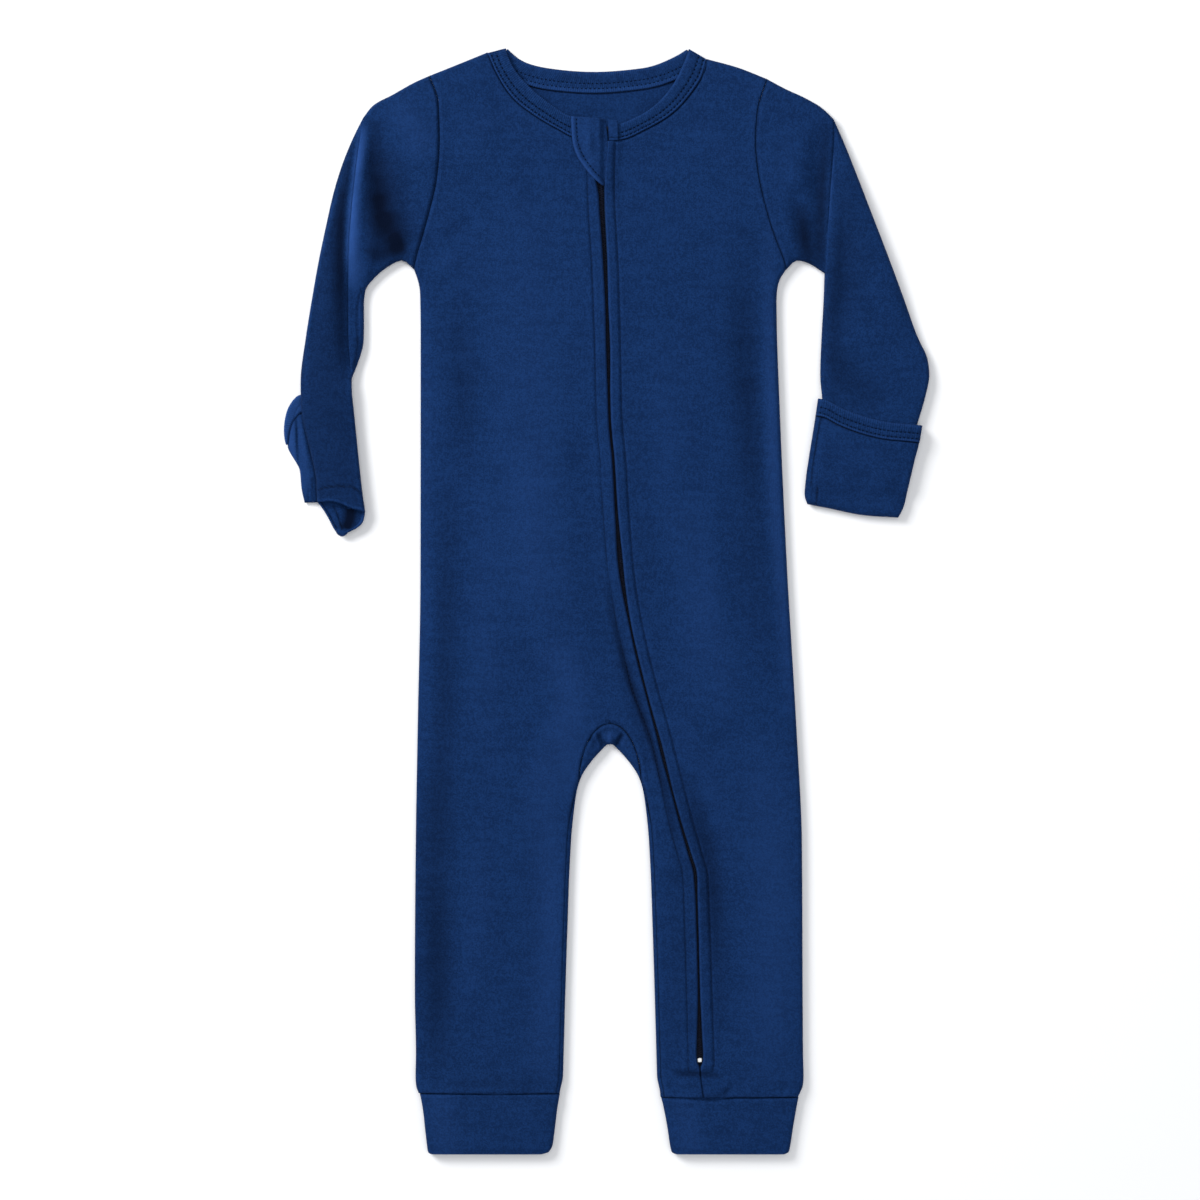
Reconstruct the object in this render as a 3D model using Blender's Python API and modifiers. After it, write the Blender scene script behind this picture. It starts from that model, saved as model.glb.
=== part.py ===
"""A baby's footless zip sleep onesie, laid flat on its back with the neck towards +Y.

Lengths are millimetres until a mesh is made. +X is the wearer's left, +Z is up,
and the floor is z = 0. Heights y run along the garment, from the cuffs to the neck.
"""
import math

import bmesh
import bpy
import numpy as np

MM = 0.001
COLLECTION = "onesie_pajama"

# ---------------------------------------------------------------- cloth and lay
WALL = 1.1              # one layer of brushed interlock
BINDING_WALL = 1.9      # a folded strip, stitched flat
CUFF_WALL = 1.9         # ankle cuffs are doubled
LOFT = 4.9              # outer face of the upper layer above the floor
ROUND = 2.4             # how far from a fold the wall turns level
SEAM = 0.3              # between neighbouring pieces
INSEAM_INSET = 3.0      # the inseam lies on the front, this far from the fold,
FOLD_INSET = 0.8        # and this far where it leaves the gusset
LIP = 0.55              # upright part of a wall where two layers meet at a fold
ROLL_TURNS = (0, 45, 90)

# ---------------------------------------------------------------- zip
BAND_WIDTH = 6.6        # turned zip edge, from its fold to its stitching
BAND_RISE = 0.5
STITCH_DIP = 0.3
ZIP_END = -256.0        # the opening ends here and a plain seam goes on
TAPE = {
    "across": (0.25, 2.4, 4.6, 8.0),    # from the zip's middle
    "height": (2.0, 2.0, 2.9, 2.9),     # outer face: under the coil, then under the band
    "wall": 0.6,
    "foot": -258.0,
}
COIL = {"width": 3.4, "softness": 0.5, "middle": 2.85, "half": 0.55, "top": 247.0,
        "foot": -250.6}
ZIP_ROWS = (260.0, 240.0, 222.0, 195.0, 165.0)
HARDWARE_EDGE = 0.35

# ---------------------------------------------------------------- outline tables
# Trunk and legs: height, outer edge on the wearer's right, outer edge on the left
SIDES = {
    "height": (-271.0, -266.0, -250.0, -217.0, -135.0, -69.0, 14.0, 110.0, 150.0, 165.0),
    "right": (-102.6, -104.0, -104.4, -105.0, -104.5, -103.4, -101.9, -101.8, -101.8, -102.0),
    "left": (106.6, 107.9, 108.2, 108.0, 107.6, 104.5, 99.6, 95.2, 93.8, 93.6),
}
# Zip line: height, middle of the gap
ZIP_LINE = {
    "height": (-273.5, -256.0, -219.5, -177.5, -151.0, -138.0, -121.0, -96.5, -76.5, -52.5,
               -22.0, 11.0, 44.0, 77.0, 100.0, 145.0, 186.0, 226.5, 264.0),
    "middle": (53.5, 51.5, 51.0, 50.0, 49.0, 45.5, 40.5, 34.0, 29.0, 22.5,
               15.0, 9.0, 6.0, 4.0, 2.0, 1.0, -0.5, -2.6, -1.6),
}
# Half of the zip's gap: closed below the stop, wide round the slider
ZIP_OPENING = {
    "height": (-273.5, -258.0, -256.0, -253.0, -250.0, -245.0, 0.0, 222.0, 234.0, 246.0, 264.0),
    "right": (0.15, 0.15, 0.9, 1.75, 1.75, 0.8, 0.8, 0.8, 3.6, 4.0, 3.6),
    "left": (0.15, 0.15, 0.9, 1.75, 1.75, 0.8, 0.8, 0.8, 1.6, 2.6, 2.9),
}
CROTCH = -79.2          # height of the silhouette between the legs
CROTCH_X = 2.2
LEG_GAP = 20.5          # half of the gap between the legs, soon after the crotch
LEG_GAP_GROWTH = 5.5    # and what it gains down to the ankles
LEG_LENGTH = 190.0
GUSSET_TOP = -67.7      # height of the gusset's seam at its middle
GUSSET_HALF = 17.0
GUSSET_DEPTH = 33.0
ANKLE = {"right": -270.6, "left": -272.6}
YOKE = 165.0            # the trunk is straight below this height

# Shoulder, armhole and sleeve outlines, each from the neck or shoulder downwards
OUTLINE = {
    "right": {
        "shoulder": ((-96.5, 288.0), (-80.0, 294.6), (-65.5, 300.5)),
        "armhole": ((-97.0, 287.8), (-92.0, 273.0), (-91.3, 250.5), (-93.0, 229.5),
                    (-96.5, 214.0), (-100.5, 199.5), (-104.3, 187.0), (-105.5, 181.5)),
        "side": ((-105.5, 181.5), (-103.6, 176.5), (-102.2, 170.0), (-102.0, YOKE)),
        "cap": ((-97.0, 287.8), (-104.5, 284.5), (-117.0, 277.5), (-128.5, 271.0),
                (-133.5, 264.5)),
        "outer": ((-133.5, 264.5), (-138.5, 254.5), (-144.5, 240.0), (-149.5, 224.0),
                  (-153.5, 206.5), (-157.5, 187.5), (-161.5, 165.0), (-165.0, 143.0),
                  (-167.5, 122.0), (-167.0, 104.5), (-162.5, 83.0), (-159.0, 66.0),
                  (-158.4, 54.0)),
        "pleat": ((-133.5, 264.5), (-136.5, 240.0), (-139.0, 216.0), (-141.0, 187.5),
                  (-141.2, 165.0), (-141.2, 146.0), (-138.5, 122.0)),
        "underarm": ((-105.5, 181.5), (-111.5, 186.5), (-120.5, 182.5), (-128.0, 176.0),
                     (-133.0, 169.5), (-134.0, 160.0), (-133.7, 143.0), (-135.0, 134.0),
                     (-138.5, 122.0)),
        "inner": ((-138.5, 122.0), (-137.0, 99.5), (-135.0, 76.5), (-133.2, 60.0),
                  (-132.0, 48.5)),
    },
    "left": {
        "shoulder": ((88.0, 286.2), (73.5, 292.0), (55.5, 297.0)),
        "armhole": ((88.5, 286.0), (83.0, 267.5), (82.0, 251.0), (83.5, 234.0),
                    (87.0, 217.5), (93.0, 198.0), (97.8, 186.0), (99.0, 181.5)),
        "side": ((99.0, 181.5), (95.4, 176.0), (94.0, 170.5), (93.6, YOKE)),
        "cap": ((88.5, 286.0), (98.5, 280.6), (109.0, 275.8), (119.0, 269.8),
                (125.0, 264.0)),
        "outer": ((125.0, 264.0), (130.5, 251.5), (137.5, 234.0), (145.0, 214.5),
                  (153.5, 192.5), (163.0, 167.0), (171.5, 143.5), (176.6, 132.0),
                  (177.5, 123.5), (175.2, 111.5), (171.6, 99.0), (168.0, 88.0),
                  (163.4, 70.0)),
        "pleat": ((125.0, 264.0), (124.5, 249.5), (122.5, 221.0), (121.0, 200.0),
                  (120.0, 179.5)),
        "underarm": ((99.0, 181.5), (105.0, 186.5), (109.5, 185.6), (120.0, 179.5)),
        "inner": ((120.0, 179.5), (119.5, 165.0), (118.3, 143.0), (117.6, 122.0),
                  (118.6, 110.5), (119.0, 99.0), (116.4, 70.0)),
    },
}
# How a sleeve's fold lies: rise of the folded forearm and the heights it takes
FOLD = {
    "right": {"rise": 1.3, "starts": 225.0, "full": 168.0, "level": 95.0},
    "left": {"rise": 1.8, "starts": 262.0, "full": 215.0, "level": 150.0},
}
# How a wrist lies on its mitten: its lift and loft, and where they begin and are full
WRIST_LIFT = {
    "right": {"lift": 3.0, "loft": LOFT, "begins": 132.0, "full": 113.0},
    "left": {"lift": 1.5, "loft": 4.1, "begins": 140.0, "full": 118.0},
}

# Neck binding stations: free edge and sewn edge, from the zip round to the zip
NECK = {
    "front right": (((-5.6, 263.0), (-5.6, 251.6)), ((-20.0, 265.5), (-19.0, 254.0)),
                    ((-29.0, 271.0), (-24.5, 257.0)), ((-43.0, 282.5), (-36.5, 263.8)),
                    ((-49.5, 290.0), (-51.5, 275.5)), ((-53.5, 297.5), (-61.0, 290.5)),
                    ((-55.5, 303.9), (-65.2, 300.6))),
    "back": (((-55.5, 303.9), (-65.2, 300.6)), ((-51.5, 299.5), (-61.5, 293.0)),
             ((-44.0, 294.6), (-49.5, 286.0)), ((-29.0, 291.2), (-34.0, 281.2)),
             ((-8.0, 289.6), (-8.0, 279.0)), ((20.0, 291.6), (20.0, 281.2)),
             ((36.0, 297.0), (41.0, 287.5)), ((42.5, 300.6), (51.0, 293.2)),
             ((46.0, 303.4), (55.3, 297.1))),
    "front left": (((46.0, 303.4), (55.3, 297.1)), ((43.0, 295.5), (52.6, 287.0)),
                   ((37.5, 284.0), (47.0, 278.3)), ((27.0, 271.5), (37.0, 267.3)),
                   ((14.0, 263.6), (21.0, 257.6)), ((7.0, 261.2), (9.0, 252.4)),
                   ((1.6, 261.2), (1.6, 251.6))),
}
NECK_LOFT = 5.0

# Ankle cuffs: height, edge towards the wearer's right, edge towards the left
CUFFS = {
    "right": ((-271.0, -102.2, -25.4), (-273.5, -101.7, -25.8), (-279.0, -100.7, -26.7),
              (-292.0, -99.2, -28.3), (-299.5, -98.3, -29.4), (-302.8, -97.2, -31.0),
              (-304.0, -95.0, -33.5)),
    "left": ((-273.0, 30.2, 105.7), (-275.5, 30.9, 105.2), (-280.5, 32.0, 104.3),
             (-291.5, 34.0, 102.4), (-299.5, 35.2, 101.2), (-302.8, 36.4, 100.0),
             (-304.0, 38.6, 97.6)),
}

# Mitten laid closed over the wearer's left wrist: height of each station at the
# two edges and where those edges are
MITTEN_LEFT = {
    "inner": ((116.3, 110.4), (114.5, 98.0), (111.6, 80.0), (109.6, 66.0), (109.0, 57.5),
              (110.6, 52.6)),
    "outer": ((173.4, 95.6), (172.0, 87.0), (169.0, 75.0), (165.6, 60.5), (163.0, 50.0),
              (160.4, 45.2)),
    "end": ((110.6, 52.6), (122.0, 50.4), (141.0, 46.6), (160.4, 45.2)),
    "mouth": ((116.3, 110.4), (120.4, 109.6), (128.0, 105.6), (140.0, 100.9),
              (155.0, 97.3), (166.0, 96.3), (173.4, 95.6)),
    "binding": 9.6,         # its width
    "binding height": 7.9,
    "loft": 7.2,            # over the sleeve's end
    "flat": 5.4,            # beyond the sleeve's end
    "thins": (65.0, 56.0),  # heights between which the loft changes
}
# Mitten turned back behind the wearer's right wrist: edges of the hidden layers and of
# the binding that rims them, from the top down
MITTEN_RIGHT = {
    "outer": ((-158.0, 105.2), (-166.4, 103.6), (-171.3, 99.8), (-173.5, 95.1),
              (-174.6, 88.0), (-175.0, 84.2), (-173.4, 80.6), (-170.5, 75.9),
              (-168.3, 71.5), (-167.2, 60.5), (-165.6, 53.4)),
    "inner": ((-146.0, 105.2), (-143.0, 103.6), (-141.5, 99.8), (-140.5, 95.1),
              (-139.0, 88.0), (-138.4, 84.2), (-137.8, 80.6), (-137.2, 75.9),
              (-137.0, 71.5), (-138.0, 60.5), (-141.0, 54.6)),
    "rim outer": ((-157.0, 113.4), (-168.0, 112.8), (-173.8, 107.2), (-176.2, 100.5),
                  (-177.0, 93.5), (-176.6, 88.0), (-175.8, 85.2)),
    "rim inner": ((-157.0, 105.8), (-166.6, 104.2), (-171.7, 100.2), (-173.9, 95.3),
                  (-174.7, 91.5), (-175.0, 88.0), (-175.3, 85.6)),
    "thickness": 2.6,
}
# Lower layer of the open right wrist, below the hem: its two edges and its height
WRIST_TONGUE = {
    "outer": ((-158.4, 54.0), (-156.0, 51.5), (-152.5, 45.5), (-149.5, 39.0), (-146.5, 36.0)),
    "inner": ((-132.0, 48.5), (-132.6, 45.5), (-135.0, 41.0), (-139.5, 38.2), (-143.0, 36.6)),
    "rise": (0.0, -0.3, -0.8, -1.2, -1.4),
}

# Half-round zip guard: its straight edge by the zip, and its curved edge, from the top
GUARD = {
    "straight": ((-1.2, 263.6), (-0.3, 254.0), (0.0, 246.0), (-1.0, 236.0), (-1.8, 230.0),
                 (-2.4, 227.3)),
    "curved": ((-19.2, 265.0), (-18.9, 256.0), (-17.6, 247.5), (-11.6, 236.4),
               (-6.5, 230.4), (-3.6, 227.5)),
    "thickness": 1.5,
    "height": 5.75,         # its underside, over the neck binding and the zip's band
    "pull rise": 0.95,      # more over the pull
}
# Zip hardware, each a box: centre, then size
HARDWARE = {
    "zip_slider": {"at": (-3.2, 243.0, 4.6), "size": (3.9, 8.0, 1.6), "kind": "slider"},
    "zip_pull": {"at": (-6.0, 238.5, 6.05), "size": (4.4, 15.0, 0.7), "kind": "slider"},
    "zip_bottom_stop": {"at": (51.38, -252.2, 3.4), "size": (1.9, 2.2, 2.2), "kind": "stop"},
}

# ---------------------------------------------------------------- colours
COLOURS = {
    "knit": (0.012, 0.035, 0.125),
    "binding": (0.011, 0.032, 0.115),
    "zip tape": (0.006, 0.012, 0.035),
    "coil": (0.004, 0.007, 0.018),
    "slider": (0.010, 0.022, 0.070),
    "stop": (0.80, 0.80, 0.78),
}
ROUGHNESS = {"knit": 0.9, "binding": 0.9, "zip tape": 0.8, "coil": 0.4, "slider": 0.35,
             "stop": 0.4}


# ---------------------------------------------------------------- curves
def flow(knots, values, at):
    """Smooth curve through values at rising knots, read at other places."""
    knots = np.asarray(knots, float)
    values = np.asarray(values, float)
    slopes = np.gradient(values, knots, axis=0)
    at = np.clip(np.asarray(at, float), knots[0], knots[-1])
    left = np.clip(np.searchsorted(knots, at, side="right") - 1, 0, len(knots) - 2)
    step = knots[left + 1] - knots[left]
    t = (at - knots[left]) / step
    if values.ndim > 1:
        t = t[..., None]
        step = step[..., None]
    return ((1 + 2 * t) * (1 - t) ** 2 * values[left] + t * (1 - t) ** 2 * step * slopes[left]
            + t * t * (3 - 2 * t) * values[left + 1] + t * t * (t - 1) * step * slopes[left + 1])


def run_lengths(points):
    """Distance along a chain of points, from its first."""
    steps = np.linalg.norm(np.diff(points, axis=0), axis=1)
    return np.concatenate([[0.0], np.cumsum(steps)])


def along(points, fractions):
    """Points at fractions of the length of the smooth curve through a few points."""
    points = np.asarray(points, float)
    fine = flow(run_lengths(points), points, np.linspace(0, run_lengths(points)[-1], 200))
    lengths = run_lengths(fine)
    wanted = np.asarray(fractions, float) * lengths[-1]
    return np.stack([np.interp(wanted, lengths, fine[:, k]) for k in range(fine.shape[1])], -1)


def length_of(points):
    return run_lengths(along(points, np.linspace(0, 1, 100)))[-1]


def crown(distance):
    """0 at a fold and 1 where the wall is level, along a quarter of an ellipse."""
    return np.sqrt(np.clip(1 - (1 - np.clip(distance / ROUND, 0, 1)) ** 2, 0, 1))


def ramp(a, b, value):
    """Smooth step from 0 at a to 1 at b."""
    t = np.clip((np.asarray(value, float) - a) / (b - a), 0, 1)
    return t * t * (3 - 2 * t)


ROLL = ROUND * (1 - np.cos(np.radians(ROLL_TURNS)))


def span(near, far, between, length):
    """Rising distances over a length: given ones at each end and even ones between."""
    near = np.asarray(near, float)
    far = np.asarray(far, float)
    scale = min(1.0, length / (near[-1] + far[-1] + 1e-9) * 0.8)
    near = near * scale
    far = far * scale
    middle = np.linspace(near[-1], length - far[-1], between + 2)[1:-1]
    return np.concatenate([near, middle, (length - far)[::-1]])


def coons(top, bottom, left, right, u, v):
    """Net of points between four chains of points; u runs across and v runs down."""
    u = np.asarray(u)[None, :, None]
    v = np.asarray(v)[:, None, None]
    corners = ((1 - u) * (1 - v) * top[0] + u * (1 - v) * top[-1]
               + (1 - u) * v * bottom[0] + u * v * bottom[-1])
    return ((1 - v) * top[None] + v * bottom[None]
            + (1 - u) * left[:, None] + u * right[:, None] - corners)


def reach(points, edges):
    """Distance from each point to the nearest of some chains of points."""
    flat = points.reshape(-1, 2)
    nearest = np.full(len(flat), 1e9)
    for edge in edges:
        a, b = edge[:-1], edge[1:]
        ab = b - a
        t = ((flat[:, None] - a) * ab).sum(-1) / (ab ** 2).sum(-1)
        foot = a + np.clip(t, 0, 1)[..., None] * ab
        nearest = np.minimum(nearest, np.linalg.norm(flat[:, None] - foot, axis=-1).min(1))
    return nearest.reshape(points.shape[:-1])


# ---------------------------------------------------------------- meshes
def material(kind):
    name = "mat_" + kind.replace(" ", "_")
    found = bpy.data.materials.get(name)
    if found:
        return found
    made = bpy.data.materials.new(name)
    made.use_nodes = True
    shader = made.node_tree.nodes["Principled BSDF"]
    shader.inputs["Base Color"].default_value = (*COLOURS[kind], 1)
    shader.inputs["Roughness"].default_value = ROUGHNESS[kind]
    shader.inputs["Metallic"].default_value = 0.0
    return made


def add_object(name, mesh, kind):
    piece = bpy.data.objects.new(name, mesh)
    mesh.materials.append(material(kind))
    bpy.data.collections[COLLECTION].objects.link(piece)
    return piece


def net_faces(rows, columns, start, facing_down):
    """Quads of a net of points; unturned they face up when rows run down the garment."""
    for i in range(rows - 1):
        for j in range(columns - 1):
            a = start + i * columns + j
            quad = (a, a + columns, a + columns + 1, a + 1)
            yield quad[::-1] if facing_down else quad


def cloth(name, nets, wall, kind="knit"):
    """Nets of outer points, joined where they meet, with a wall thickened inwards.

    nets holds pairs: points (rows, columns, 3) and whether the net faces down.
    """
    points, faces = [], []
    for net, facing_down in nets:
        rows, columns = net.shape[:2]
        faces.extend(net_faces(rows, columns, len(points), facing_down))
        points.extend(map(tuple, (net.reshape(-1, 3) * MM)))
    mesh = bpy.data.meshes.new(name)
    mesh.from_pydata(points, [], faces)
    work = bmesh.new()
    work.from_mesh(mesh)
    bmesh.ops.remove_doubles(work, verts=work.verts, dist=0.02 * MM)
    bmesh.ops.dissolve_degenerate(work, edges=work.edges, dist=0.01 * MM)
    work.to_mesh(mesh)
    work.free()
    mesh.shade_smooth()
    piece = add_object(name, mesh, kind)
    if wall:
        thicken = piece.modifiers.new("wall", "SOLIDIFY")
        thicken.thickness = wall * MM
        thicken.offset = -1
    return piece


def pillow(name, plan, middle, half, softness, kind):
    """A closed flat piece on a plan net, rounded over at its rim.

    middle is the height of its rim, half is half its thickness, and softness is how
    far from the rim its faces turn level.
    """
    rim = [plan[0], plan[-1], plan[:, 0], plan[:, -1]]
    inward = np.clip(reach(plan, rim) / softness, 0, 1)
    rise = half * np.sqrt(1 - (1 - inward) ** 2)
    cloth(name, [(with_height(plan, middle + rise), False),
                 (with_height(plan, middle - rise), True)], None, kind)


def with_height(plan, height):
    return np.concatenate([plan, np.broadcast_to(height, plan.shape[:-1])[..., None]], -1)


# ---------------------------------------------------------------- body outline
MID = LOFT / 2


def side_edge(side, height):
    return flow(SIDES["height"], SIDES[side], height)


def zip_middle(height):
    return flow(ZIP_LINE["height"], ZIP_LINE["middle"], height)


def zip_edge(side, height):
    """The folded edge of one front along the zip."""
    half = np.interp(height, ZIP_OPENING["height"], ZIP_OPENING[side])
    return zip_middle(height) + (half if side == "left" else -half)


def leg_gap(height):
    """Half of the gap between the legs: quick to open, then nearly parallel."""
    depth = np.clip(CROTCH - np.asarray(height, float), 0, None)
    opening = 1 - np.exp(-(depth + 1.5 * np.sqrt(depth)) / 18.5)
    return LEG_GAP * opening + LEG_GAP_GROWTH * depth / LEG_LENGTH


def gusset_half(height):
    """Half width of the gusset's seam, a half ellipse over the crotch."""
    depth = np.clip((GUSSET_TOP - np.asarray(height, float)) / GUSSET_DEPTH, 0, 1)
    return GUSSET_HALF * np.sqrt(1 - (1 - depth) ** 2)


GUSSET_FOOT = GUSSET_TOP - GUSSET_DEPTH


def inseam_inset(height):
    """Distance of the front inseam from the fold: nothing at the gusset's foot."""
    return FOLD_INSET + (INSEAM_INSET - FOLD_INSET) * ramp(GUSSET_FOOT, GUSSET_FOOT - 24, height)


def front_height(plan, edges, zip_distance=None, zip_seam=None):
    """Outer face of the upper layer: level, rounded at folds, raised along the zip."""
    height = MID + np.maximum(MID * crown(reach(plan, edges)), LIP)
    if zip_distance is None:
        return height
    band = ramp(0.0, 1.2, zip_distance) * (1 - ramp(BAND_WIDTH - 1.0, BAND_WIDTH, zip_distance))
    dip = np.exp(-((zip_distance - BAND_WIDTH) / 0.6) ** 2)
    edge = 1 - ramp(0.0, 1.2, zip_distance)
    return height + (BAND_RISE * band - STITCH_DIP * dip - 0.1 * edge) * zip_seam


ZIP_COLUMNS = (0.0, 0.5, 1.4, BAND_WIDTH - 1.2, BAND_WIDTH, BAND_WIDTH + 1.2)
OWN_COLUMNS = 5         # level ones across the right front's own leg
LEFT_COLUMNS = 9        # level ones across the left front
BACK_COLUMNS = 3        # level ones across each half of the back
NECK_COLUMNS = {"front right": 6, "back": 9, "front left": 4}


ARMHOLE_ROWS = 6        # between the rolls at the armhole's two ends


def armhole_rows(side):
    """Fractions down the armhole, shared by the body and the sleeve."""
    length = length_of(OUTLINE[side]["armhole"])
    return span(ROLL, ROLL, ARMHOLE_ROWS, length) / length


SIDE_ROWS = (0.3, 0.65, 1.0)        # fractions down the side, from armhole to yoke's foot
TRUNK_ROWS = (115.0, 65.0, 15.0, -28.0, -56.0)
ARCH_TURNS = (90, 72, 55, 39, 25, 12, 0)
LEG_ROWS = (-107.0, -117.0, -132.0, -150.0, -190.0, -240.0, -256.0)
PLAIN_ROWS = (-76.0, -98.0, -118.0, -136.0, -147.0, -162.0, -200.0, -240.0, -256.0)


def lower_rows(side):
    """Heights of the rows below the yoke, with the ones that follow the gusset."""
    arch = GUSSET_FOOT + GUSSET_DEPTH * np.sin(np.radians(ARCH_TURNS))
    return np.concatenate([TRUNK_ROWS, arch, LEG_ROWS, [ANKLE[side]]])


def body_edges():
    """Folds of the body's outline that its walls round over to."""
    heights = np.linspace(YOKE, ANKLE["left"], 60)
    edges = [along(OUTLINE[side][part], np.linspace(0, 1, 24))
             for side in ("right", "left") for part in ("shoulder", "side", "underarm")]
    edges += [np.stack([side_edge(side, heights), heights], -1) for side in ("right", "left")]
    legs = CROTCH - np.linspace(0, 1, 60) ** 2 * (CROTCH - ANKLE["left"])
    edges += [np.stack([CROTCH_X + turn * leg_gap(legs), legs], -1) for turn in (-1, 1)]
    return edges


def inner_seam(side, height):
    """Where a front meets the gusset or the back between the legs."""
    turn = -1 if side == "right" else 1
    below = CROTCH_X + turn * (leg_gap(height) + inseam_inset(height))
    arch = CROTCH_X + turn * gusset_half(height)
    return np.where(height > GUSSET_FOOT, arch, below)


def split_line(height):
    """Where the right front's net parts into its own leg and the strip by the zip."""
    return CROTCH_X + (-24.0 - CROTCH_X) * (height - GUSSET_TOP) / (YOKE - GUSSET_TOP)


def shift(curve, dx, dy=0.0):
    return curve + np.array([dx, dy])


def neck_rows(part):
    """Fractions along a part of the neck, shared by the binding and the panel's columns."""
    length = length_of([station[1] for station in NECK[part]])
    ends = {"front right": (ZIP_COLUMNS, ROLL), "back": (ROLL, ROLL),
            "front left": (ROLL, ZIP_COLUMNS)}[part]
    return span(*ends, NECK_COLUMNS[part], length) / length


def neck_seam(part):
    """Points of a panel's edge along the neck, a seam's width from the binding."""
    stations = np.array(NECK[part], float)
    free = along(stations[:, 0], neck_rows(part))
    sewn = along(stations[:, 1], neck_rows(part))
    away = sewn - free
    return sewn + SEAM * away / np.linalg.norm(away, axis=1, keepdims=True)


def panel_side(side):
    """Edge of a body panel down the armhole and the side, to the yoke's foot."""
    outline = OUTLINE[side]
    turn = 1 if side == "right" else -1
    return np.concatenate([shift(along(outline["armhole"], armhole_rows(side)), turn * SEAM),
                           along(outline["side"], SIDE_ROWS)])


def front_yoke(side, columns):
    """Net of one front above the yoke's foot, from the side to the zip."""
    edge = panel_side(side)
    v = run_lengths(edge) / run_lengths(edge)[-1]
    neck = neck_seam("front " + side)
    if side == "right":
        neck = neck[::-1]
    corner = len(columns) - len(neck)
    shoulder = along(OUTLINE[side]["shoulder"], columns[:corner] / columns[corner])
    shoulder[0] = edge[0]
    top = np.concatenate([shoulder, neck])
    heights = top[-1, 1] + (YOKE - top[-1, 1]) * v
    right = np.stack([zip_edge(side, heights), heights], -1)
    top[-1] = right[0]
    foot = edge[-1, 0] + (right[-1, 0] - edge[-1, 0]) * columns
    bottom = np.stack([foot, np.full(len(foot), YOKE)], -1)
    return coons(top, bottom, edge, right, columns, v)


def make_fronts(edges):
    # Right front: columns from the side seam to where the net parts, then to the zip
    own = span(ROLL, ROLL, OWN_COLUMNS, 78.0)
    strip = 78.0 + span((0.0, 1.5, 3.5), ZIP_COLUMNS, 1, 23.0)
    columns = np.concatenate([own, strip[1:]]) / 101.0
    yoke = front_yoke("right", columns)
    rows = []
    for height in lower_rows("right"):
        seam, edge = inner_seam("right", height), side_edge("right", height)
        parted = height < GUSSET_TOP
        middle = seam if parted else split_line(height)
        rows.append(np.stack([edge + span(ROLL, ROLL, OWN_COLUMNS, middle - edge),
                              np.full(len(own), height)], -1))
    own_net = np.concatenate([yoke[:, :len(own)], np.array(rows)])
    rows = []
    for height in lower_rows("left"):
        parted = height < GUSSET_TOP
        middle = inner_seam("left", height) if parted else split_line(height)
        width = zip_edge("right", height) - middle
        rows.append(np.stack([middle + span((0.0, 1.5, 3.5), ZIP_COLUMNS, 1, width),
                              np.full(len(strip), height)], -1))
    strip_net = np.concatenate([yoke[:, len(own) - 1:], np.array(rows)])
    cloth("front_right", [(lay_front(own_net, edges, "right", "first"), False),
                          (lay_front(strip_net, edges, "right", None), False)], WALL)

    # Left front: columns from the zip to the side seam
    columns = span(ROLL, ZIP_COLUMNS, LEFT_COLUMNS, 95.0) / 95.0
    yoke = front_yoke("left", columns)[:, ::-1]
    rows = []
    for height in (*TRUNK_ROWS, *PLAIN_ROWS, ANKLE["left"]):
        near, far = zip_edge("left", height), side_edge("left", height)
        rows.append(np.stack([near + span(ZIP_COLUMNS, ROLL, LEFT_COLUMNS, far - near),
                              np.full(len(columns), height)], -1))
    net = np.concatenate([yoke, np.array(rows)])
    cloth("front_left", [(lay_front(net, edges, "left", "last"), False)], WALL)


def with_lip(net, sign, column):
    """Adds an upright lip where a net's first row and one side column lie on a fold.

    sign is 1 for the upper layer and -1 for the lower; the lips of the two layers
    stand against each other a seam apart.
    """
    def lip(line):
        at_fold = np.abs(line[..., 2] - MID) < LIP + 0.01
        lowered = line.copy()
        lowered[..., 2] = np.where(at_fold, MID + sign * SEAM / 2, line[..., 2])
        return lowered
    net = np.concatenate([lip(net[:1]), net])
    if column == "first":
        return np.concatenate([lip(net[:, :1]), net], 1)
    if column == "last":
        return np.concatenate([net, lip(net[:, -1:])], 1)
    return net


def lay_front(net, edges, side, column):
    distance = np.abs(net[..., 0] - zip_edge(side, net[..., 1]))
    zip_seam = ramp(ZIP_END - 5, ZIP_END, net[..., 1])
    return with_lip(with_height(net, front_height(net, edges, distance, zip_seam)), 1, column)


# ---------------------------------------------------------------- back
WRAP = 5                # steps of the wall round a leg's fold
LEVEL_END = 0.4         # the first of them, level beside the seam
TURNING_GAP = 3.2       # widens the seam where it climbs out of the fold


def wrapped(seam_turn, fold, sign):
    """Places from a seam round a leg's fold to the level underside, and their heights.

    seam_turn is how far the seam lies along the wall from the fold: above 0 it is on
    the front. sign points from the fold into the leg.
    """
    quarter = ROUND * math.pi / 2
    last = min(seam_turn, -quarter) - 0.8
    turns = np.append(seam_turn, np.linspace(seam_turn - LEVEL_END, last, WRAP))
    angle = np.clip(np.abs(turns) / ROUND, 0, math.pi / 2)
    inset = ROUND * (1 - np.cos(angle)) + np.clip(np.abs(turns) - quarter, 0, None)
    return fold + sign * inset, MID + MID * np.sin(angle) * np.sign(turns)


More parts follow.
